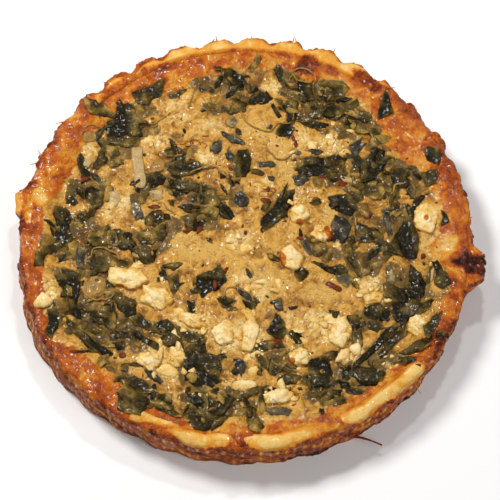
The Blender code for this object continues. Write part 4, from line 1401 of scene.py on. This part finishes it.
def round_slice(node, seed):
    """Limp disc with faint rings, from its node's place and size."""
    x, y, length, width, direction = node_lay(node)
    rings, sides = 14, 64
    points, rib = [], []
    for ring in range(rings + 1):
        share = ring / rings
        for side in range(sides):
            turn = 2.0 * math.pi * side / sides
            ragged = 1.0 + 0.12 * math.sin(2.0 * turn + seed) + 0.08 * math.sin(5.0 * turn + 2.0 * seed)
            along = 0.5 * length * share * ragged * math.cos(turn)
            across = 0.5 * width * share * ragged * math.sin(turn)
            px, py = placed(x, y, direction, along, across)
            wave = math.sin(share * 9.0 + 0.8 * math.sin(turn + seed))
            points.append((px, py, 1.5 - 1.0 * share ** 3 + 0.10 * wave))
            rib.append(max(0.0, wave - 0.6) * 2.0 * (0.6 + 0.4 * math.sin(3.0 * turn + seed)))
    points = np.array(points)
    px, py = points[:, 0], points[:, 1]
    points[:, 2] += filling_height(px, py) + 0.35 * lumps(px, py, 4.0, 112)
    faces = grid_faces(rings + 1, sides, closed=True)[sides:]
    faces.append(tuple(range(sides, 2 * sides)))
    foot = points[-sides:] - (0.0, 0.0, 2.4)
    start = len(points)
    for side in range(sides):
        after = (side + 1) % sides
        faces.append((start - sides + side, start - sides + after, start + after, start + side))
    faces.append(tuple(range(start + sides - 1, start - 1, -1)))
    points = np.concatenate([points, foot])[sides:]
    faces = [tuple(c - sides for c in face) for face in faces]
    return points, faces, np.array(rib + [0.0] * sides)[sides:]


def stalk(node):
    """Pale flat stalk along its node."""
    x, y, length, width, direction = node_lay(node)
    rows, columns = 60, 20
    u, v = flat_grid(rows, columns)
    half = 0.62 * width * (1.0 - 0.25 * np.abs(u) ** 8) * (1.0 + 0.15 * lumps(u * 4.0, 0.0 * u, 1.0, 111))
    along, across = 0.52 * length * u, v * half + 1.2 * np.sin(2.0 * u)
    px, py = placed(x, y, direction, along, across)
    crown = 0.9 * np.sqrt(np.maximum(1.0 - v ** 4, 0.0)) + 0.05 * np.sin(v * 14.0)
    height = filling_height(px, py) + 0.7 + crown - 1.2 * np.abs(u) ** 5
    upper = np.stack([px, py, height], 1)
    lower = upper - (0.0, 0.0, 1.2)
    rib = np.tile(0.25 * (1.0 + np.sin(v * 14.0)) * 0.5, 2)
    return np.concatenate([upper, lower]), slab_faces(rows, columns), rib


def make_onion(colours):
    """Stalk, round slices, curved slivers and a tangle of fried skin."""
    amber = onion_finish("amber_onion", (128, 92, 38), colours.onion)
    pale = onion_finish("pale_stalk", (166, 134, 86), (196, 168, 116), wet=0.1)
    names = sorted(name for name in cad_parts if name.startswith("onion_slice"))
    for seed, node in enumerate(names):
        points, faces, rib = round_slice(node, seed)
        add_piece(node + "_fried", points, faces, amber, [node], {"rib": rib})
    points, faces, rib = stalk("onion_stem_01")
    add_piece("onion_stem_01_ribbed", points, faces, pale, ["onion_stem_01"], {"rib": rib})
    flakes = Heap()
    for number, corners in enumerate(PALE_FLAKES, start=900):
        points, faces, folds, border = leaf_shape(np.reshape(corners, (-1, 2)), number, 0.15)
        flakes.add(points, faces, rib=0.1)
    flakes.piece("onion_flakes", pale, slot="onion")
    make_slivers(amber)
    make_curls()


def make_slivers(finish):
    """Curved slivers that stand on the filling."""
    slivers = Heap()
    for cx, cy, radius, start, end, width, lift in SLIVERS:
        end = end + 360 if end < start else end
        turns = np.radians(np.linspace(start, end, max(12, int(radius * math.radians(end - start) / 0.8))))
        bend = radius * (1.0 + 0.14 * lumps(turns * 2.5, turns * 0.0 + radius, 1.0, 113))
        x, y = cx + bend * np.cos(turns), cy + bend * np.sin(turns)
        z = filling_height(x, y) + lift
        points, faces = tube(np.stack([x, y, z], 1), 0.5 * width, 9)
        slivers.add(points, faces, rib=0.1)
    slivers.piece("onion_slivers", finish, slot="onion")


def make_curls():
    """Tangle of thin fried skin in fine loops."""
    rng = np.random.default_rng(23)
    heap = Heap()
    for cx, cy, across, along, count in CURLS:
        for _ in range(count):
            x0, y0 = cx + across * rng.normal() * 0.5, cy + along * rng.normal() * 0.5
            radius, start, sweep = rng.uniform(1.5, 5.0), rng.uniform(0.0, 6.3), rng.uniform(1.2, 4.5)
            turns = start + np.linspace(0.0, sweep, 14)
            x, y = x0 + radius * np.cos(turns), y0 + 0.6 * radius * np.sin(turns)
            z = surface_height(x, y) + 0.25
            points, faces = tube(np.stack([x, y, z], 1), rng.uniform(0.2, 0.4), 6)
            heap.add(points, faces, tone=rng.uniform(0.2, 0.9))
    heap.piece("onion_skin_curls", burnt_finish("fried_skin", (92, 28, 12), (190, 110, 44)), slot="onion")


# ---------------------------------------------------------------- small bits

# Dark red-brown bits: x, y, length, width, direction
RED_BITS = [
    (51, 0, 6, 5, 60), (53, -34, 8, 4, -30), (-21, 88, 2.5, 7, 0), (-41, 80, 2, 3, 0), (14, 31, 3, 3, 30),
    (12, 23, 5, 3, 0), (-8, -115, 4, 3.5, 0), (20, -71, 8, 4, 0), (-28, 3, 6, 3, 30), (-36, 2, 6, 3, 0),
    (-9, 46, 6, 2.5, -30), (31, 66, 2, 8, 10), (50, 40, 5, 2, 0), (77, 14, 5, 3, 30), (-56, 19, 6, 2, 0),
    (34, -2, 5, 3, -40), (-12, -24, 4, 3, 60), (-18, -33, 3, 5, 0), (-62, -18, 6, 2, 0), (0, 1, 3, 2, 30),
    (109, -15, 4, 4, 0), (-73, -79, 3, 3, 0), (33, 52, 5, 2, 10), (-101, 38, 5, 7, 0), (60, 36, 5, 5, 0)]
# Strands of leaked egg round the rim: angle, height, length, lean in degrees, droop
WHISKERS = [
    (146.0, 29, 6, 20, 0.5), (158.5, 29, 7, -70, 0.8), (159.5, 28, 6, 10, 0.5), (130.0, 29, 3, 40, 0.2),
    (120.0, 29, 3, -30, 0.2), (97.6, 29, 4, 10, -0.5), (99.0, 29, 3, -20, 0.2), (76.0, 29, 5, 15, -0.6),
    (77.5, 29, 5, -25, -0.8), (66.0, 29, 5, 0, -0.6), (88.0, 29, 3, 20, 0.1), (47.6, 28, 3, -20, 0.2),
    (15.0, 28, 4, 30, 0.3), (14.0, 27, 3, -50, 0.2), (5.0, 27, 4, 10, 0.2), (38.0, 28, 3, 30, 0.2),
    (-40.0, 26, 4, 0, 1.0), (-43.0, 24, 8, -30, 2.0), (-65.0, 8, 24, 68, 0.1), (-60.0, 14, 6, 60, 0.4),
    (-33.0, 25, 4, 40, 0.3), (-121.0, 22, 4, 0, 2.0), (-115.0, 12, 5, 40, 1.5), (-97.0, 8, 4, 0, 2.0),
    (-138.0, 24, 3, 10, 0.8), (52.0, 29, 2.5, 30, 0.1), (60.0, 29, 2.5, -10, 0.0),
    (171.0, 29, 9, 95, 0.2), (28.0, 28, 3, 20, 0.2)]


# Tries at small dark specks, strewn over the filling
SPECKS = 150


def make_bits():
    """Red-brown crusts and dark specks on the filling."""
    rng = np.random.default_rng(31)
    directions, faces = sphere(3)
    red = Heap()
    for x, y, length, width, direction in RED_BITS:
        add_flake(red, rng, directions, faces, (x, y, length, width, direction), 0.45)
    for _ in range(SPECKS):
        radius, turn = TOPPING_REACH * math.sqrt(rng.random()), rng.uniform(0.0, 2.0 * math.pi)
        lay = (radius * math.cos(turn), radius * math.sin(turn), rng.uniform(0.7, 2.2), rng.uniform(0.5, 1.2),
               rng.uniform(0.0, 180.0))
        if math.dist(lay[:2], STALK_MIDDLE) >= 20.0:
            add_flake(red, rng, directions, faces, lay, rng.uniform(0.0, 0.9))
    red.piece("toasted_bits", burnt_finish("toasted_bits", (52, 18, 10), (146, 66, 26)), slot="custard")
    make_strands()


def make_strands():
    """Strands of egg that leaked out and baked on round the rim."""
    strands = Heap()
    for angle, height, length, lean, droop in WHISKERS:
        turn = math.radians(angle)
        start = (rim_radius(np.array([angle]))[0] - 1.5) * np.array([math.cos(turn), math.sin(turn)])
        way = turn + math.radians(lean)
        steps = np.linspace(0.0, 1.0, 10)
        curl = 0.35 * length * steps ** 2 * math.sin(angle)
        x = start[0] + length * steps * math.cos(way) - curl * math.sin(way)
        y = start[1] + length * steps * math.sin(way) + curl * math.cos(way)
        z = height - 0.6 - droop * length * 0.3 * steps ** 2
        points, strand_faces = tube(np.stack([x, y, z], 1), 0.28 + 0.03 * length, 6)
        strands.add(points, strand_faces, tone=0.5 + 0.4 * math.sin(angle))
    strands.piece("egg_strands", burnt_finish("egg_strands", (120, 44, 16), (206, 136, 62)), slot="pastry")


def add_flake(heap, rng, directions, faces, lay, tone):
    """One flat lump of toasted crust."""
    x, y, length, width, direction = lay
    shape = cut_lump(rng, directions, 8, 0.6)
    px, py = placed(x, y, direction, 0.5 * length * shape[:, 0], 0.5 * width * shape[:, 1])
    here = float(surface_height(np.array([float(x)]), np.array([float(y)]))[0])
    pz = here + 0.1 + 0.22 * min(length, width) * shape[:, 2]
    heap.add(np.stack([px, py, pz], 1), faces, tone=tone)


# ---------------------------------------------------------------- stage

def make_lamp(name, place, aim, width, power, tint):
    """Soft area lamp that looks at a point."""
    lamp = bpy.data.lights.new(name, "AREA")
    lamp.shape = "DISK"
    lamp.size = width
    lamp.energy = power
    lamp.color = tint
    thing = bpy.data.objects.new(name, lamp)
    thing.location = place
    thing.rotation_euler = (Vector(aim) - Vector(place)).to_track_quat("-Z", "Y").to_euler()
    bpy.context.scene.collection.objects.link(thing)


FLOOR_REACH = 6.0
# Lamps: name, place, width, power, tint
LAMPS = [("key", (-0.5, 0.35, 0.95), 0.30, 10.2, (1.0, 0.985, 0.96)),
         ("fill", (0.7, -0.6, 0.9), 0.8, 5.6, (1.0, 1.0, 1.0)),
         ("sparkle", (0.1, 0.45, 0.9), 0.08, 2.0, (1.0, 1.0, 1.0))]
WORLD_STRENGTH = 0.16
CAMERA_TARGET = (0.003, -0.0107, 0.027)


def make_stage(sizes):
    """Pale floor, soft light and the camera."""
    make_floor()
    aim = Vector((0.0, 0.0, CAD_BOX[1][2]))
    for name, place, width, power, tint in LAMPS:
        make_lamp(name, place, aim, width, power, tint)
    world = bpy.data.worlds.new("studio")
    world.use_nodes = True
    world.node_tree.nodes["Background"].inputs["Color"].default_value = (1.0, 1.0, 1.0, 1.0)
    world.node_tree.nodes["Background"].inputs["Strength"].default_value = WORLD_STRENGTH
    bpy.context.scene.world = world
    bpy.context.scene.view_settings.view_transform = "Standard"
    make_camera(sizes)


def make_floor():
    """Plain pale floor."""
    floor_mesh = bpy.data.meshes.new("floor")
    corners = [(-FLOOR_REACH, -FLOOR_REACH, 0.0), (FLOOR_REACH, -FLOOR_REACH, 0.0),
               (FLOOR_REACH, FLOOR_REACH, 0.0), (-FLOOR_REACH, FLOOR_REACH, 0.0)]
    floor_mesh.from_pydata(corners, [], [(0, 1, 2, 3)])
    floor = bpy.data.objects.new("floor", floor_mesh)
    pale = bpy.data.materials.new("pale_floor")
    pale.use_nodes = True
    pale.node_tree.nodes["Principled BSDF"].inputs["Base Color"].default_value = (0.9, 0.9, 0.9, 1.0)
    pale.node_tree.nodes["Principled BSDF"].inputs["Roughness"].default_value = 0.8
    floor_mesh.materials.append(pale)
    bpy.context.scene.collection.objects.link(floor)


def make_camera(sizes):
    """Camera that looks down on the near side."""
    lens = bpy.data.cameras.new("camera")
    lens.sensor_width = 36.0
    lens.lens = sizes.lens
    lens.clip_start = 0.01
    camera = bpy.data.objects.new("camera", lens)
    back = Vector((0.0, -math.cos(sizes.view_rise), math.sin(sizes.view_rise)))
    camera.location = Vector(CAMERA_TARGET) + sizes.view_distance * back
    camera.rotation_euler = back.to_track_quat("Z", "Y").to_euler()
    bpy.context.scene.collection.objects.link(camera)
    bpy.context.scene.camera = camera


# ---------------------------------------------------------------- add-on

def colour_property(name, text, default):
    """Three whole numbers from 0 to 255, as a colour is named on a display."""
    return bpy.props.IntVectorProperty(name=name, description=text, default=default, min=0, max=255, size=3)


class QuicheSizes(bpy.types.PropertyGroup):
    """Sizes that set how fine the pieces are and how they are seen."""

    crust_columns: bpy.props.IntProperty(
        name="Crust columns", description="Divisions round the crust", default=1260, min=360, max=1500)
    custard_cells: bpy.props.IntProperty(
        name="Custard cells", description="Divisions across the custard", default=300, min=80, max=310)
    lens: bpy.props.FloatProperty(
        name="Lens", description="Focal length of the camera", default=117.2, unit="CAMERA")
    view_rise: bpy.props.FloatProperty(
        name="View rise", description="Angle of the view above the horizon", default=math.radians(66.5),
        unit="ROTATION")
    view_distance: bpy.props.FloatProperty(
        name="View distance", description="From the camera to the quiche", default=1.0, unit="LENGTH")


class QuicheColours(bpy.types.PropertyGroup):
    """Main colours of the finishes."""

    pastry: colour_property("Pastry", "Clean baked pastry on the lip", (216, 154, 58))
    browned: colour_property("Browned egg", "Egg that baked on to the crust", (160, 74, 25))
    custard: colour_property("Custard", "Even custard between the lumps", (198, 146, 62))
    leaf: colour_property("Leaf", "Wilted spinach leaf", (56, 45, 15))
    cheese: colour_property("Cheese", "Crumbly cheese on top", (236, 206, 142))
    onion: colour_property("Onion", "Light parts of the fried onion", (176, 136, 66))


class QUICHE_OT_stage(bpy.types.Operator):
    """Add the floor, the light and the camera"""

    bl_idname = "quiche.stage"
    bl_label = "Stage"

    def execute(self, context):
        make_stage(context.scene.quiche_sizes)
        return {"FINISHED"}


class QUICHE_OT_crust(bpy.types.Operator):
    """Add the fluted crust"""

    bl_idname = "quiche.crust"
    bl_label = "Crust"

    def execute(self, context):
        make_crust(context.scene.quiche_sizes, context.scene.quiche_colours)
        return {"FINISHED"}


class QUICHE_OT_custard(bpy.types.Operator):
    """Add the baked custard"""

    bl_idname = "quiche.custard"
    bl_label = "Custard"

    def execute(self, context):
        make_custard(context.scene.quiche_sizes, context.scene.quiche_colours)
        return {"FINISHED"}


class QUICHE_OT_cheese(bpy.types.Operator):
    """Add the cheese pieces and their crumbs"""

    bl_idname = "quiche.cheese"
    bl_label = "Cheese"

    def execute(self, context):
        make_cheese(context.scene.quiche_colours)
        return {"FINISHED"}


class QUICHE_OT_spinach(bpy.types.Operator):
    """Add the spinach leaves and scraps"""

    bl_idname = "quiche.spinach"
    bl_label = "Spinach"

    def execute(self, context):
        make_spinach(context.scene.quiche_colours)
        return {"FINISHED"}


class QUICHE_OT_onion(bpy.types.Operator):
    """Add the onion"""

    bl_idname = "quiche.onion"
    bl_label = "Onion"

    def execute(self, context):
        make_onion(context.scene.quiche_colours)
        return {"FINISHED"}


class QUICHE_OT_bits(bpy.types.Operator):
    """Add the toasted bits and the strands of egg"""

    bl_idname = "quiche.bits"
    bl_label = "Small bits"

    def execute(self, context):
        make_bits()
        return {"FINISHED"}


OPERATORS = [QUICHE_OT_stage, QUICHE_OT_crust, QUICHE_OT_custard, QUICHE_OT_cheese, QUICHE_OT_spinach,
             QUICHE_OT_onion, QUICHE_OT_bits]


class QUICHE_PT_panel(bpy.types.Panel):
    """Lists the quiche's operators and settings"""

    bl_label = "Quiche"
    bl_space_type = "VIEW_3D"
    bl_region_type = "UI"
    bl_category = "Quiche"

    def draw(self, context):
        for operator in OPERATORS:
            self.layout.operator(operator.bl_idname)
        for group in (context.scene.quiche_sizes, context.scene.quiche_colours):
            for key in group.__annotations__:
                self.layout.prop(group, key)


CLASSES = [QuicheSizes, QuicheColours] + OPERATORS + [QUICHE_PT_panel]


def register():
    """Register the classes and the scene's settings."""
    for item in CLASSES:
        bpy.utils.register_class(item)
    bpy.types.Scene.quiche_sizes = bpy.props.PointerProperty(type=QuicheSizes)
    bpy.types.Scene.quiche_colours = bpy.props.PointerProperty(type=QuicheColours)


def unregister():
    """Remove the settings and the classes."""
    del bpy.types.Scene.quiche_colours
    del bpy.types.Scene.quiche_sizes
    for item in reversed(CLASSES):
        bpy.utils.unregister_class(item)


def main():
    """Make the whole quiche."""
    register()
    for operator in OPERATORS:
        group, name = operator.bl_idname.split(".")
        getattr(getattr(bpy.ops, group), name)()


if __name__ == "__main__":
    main()
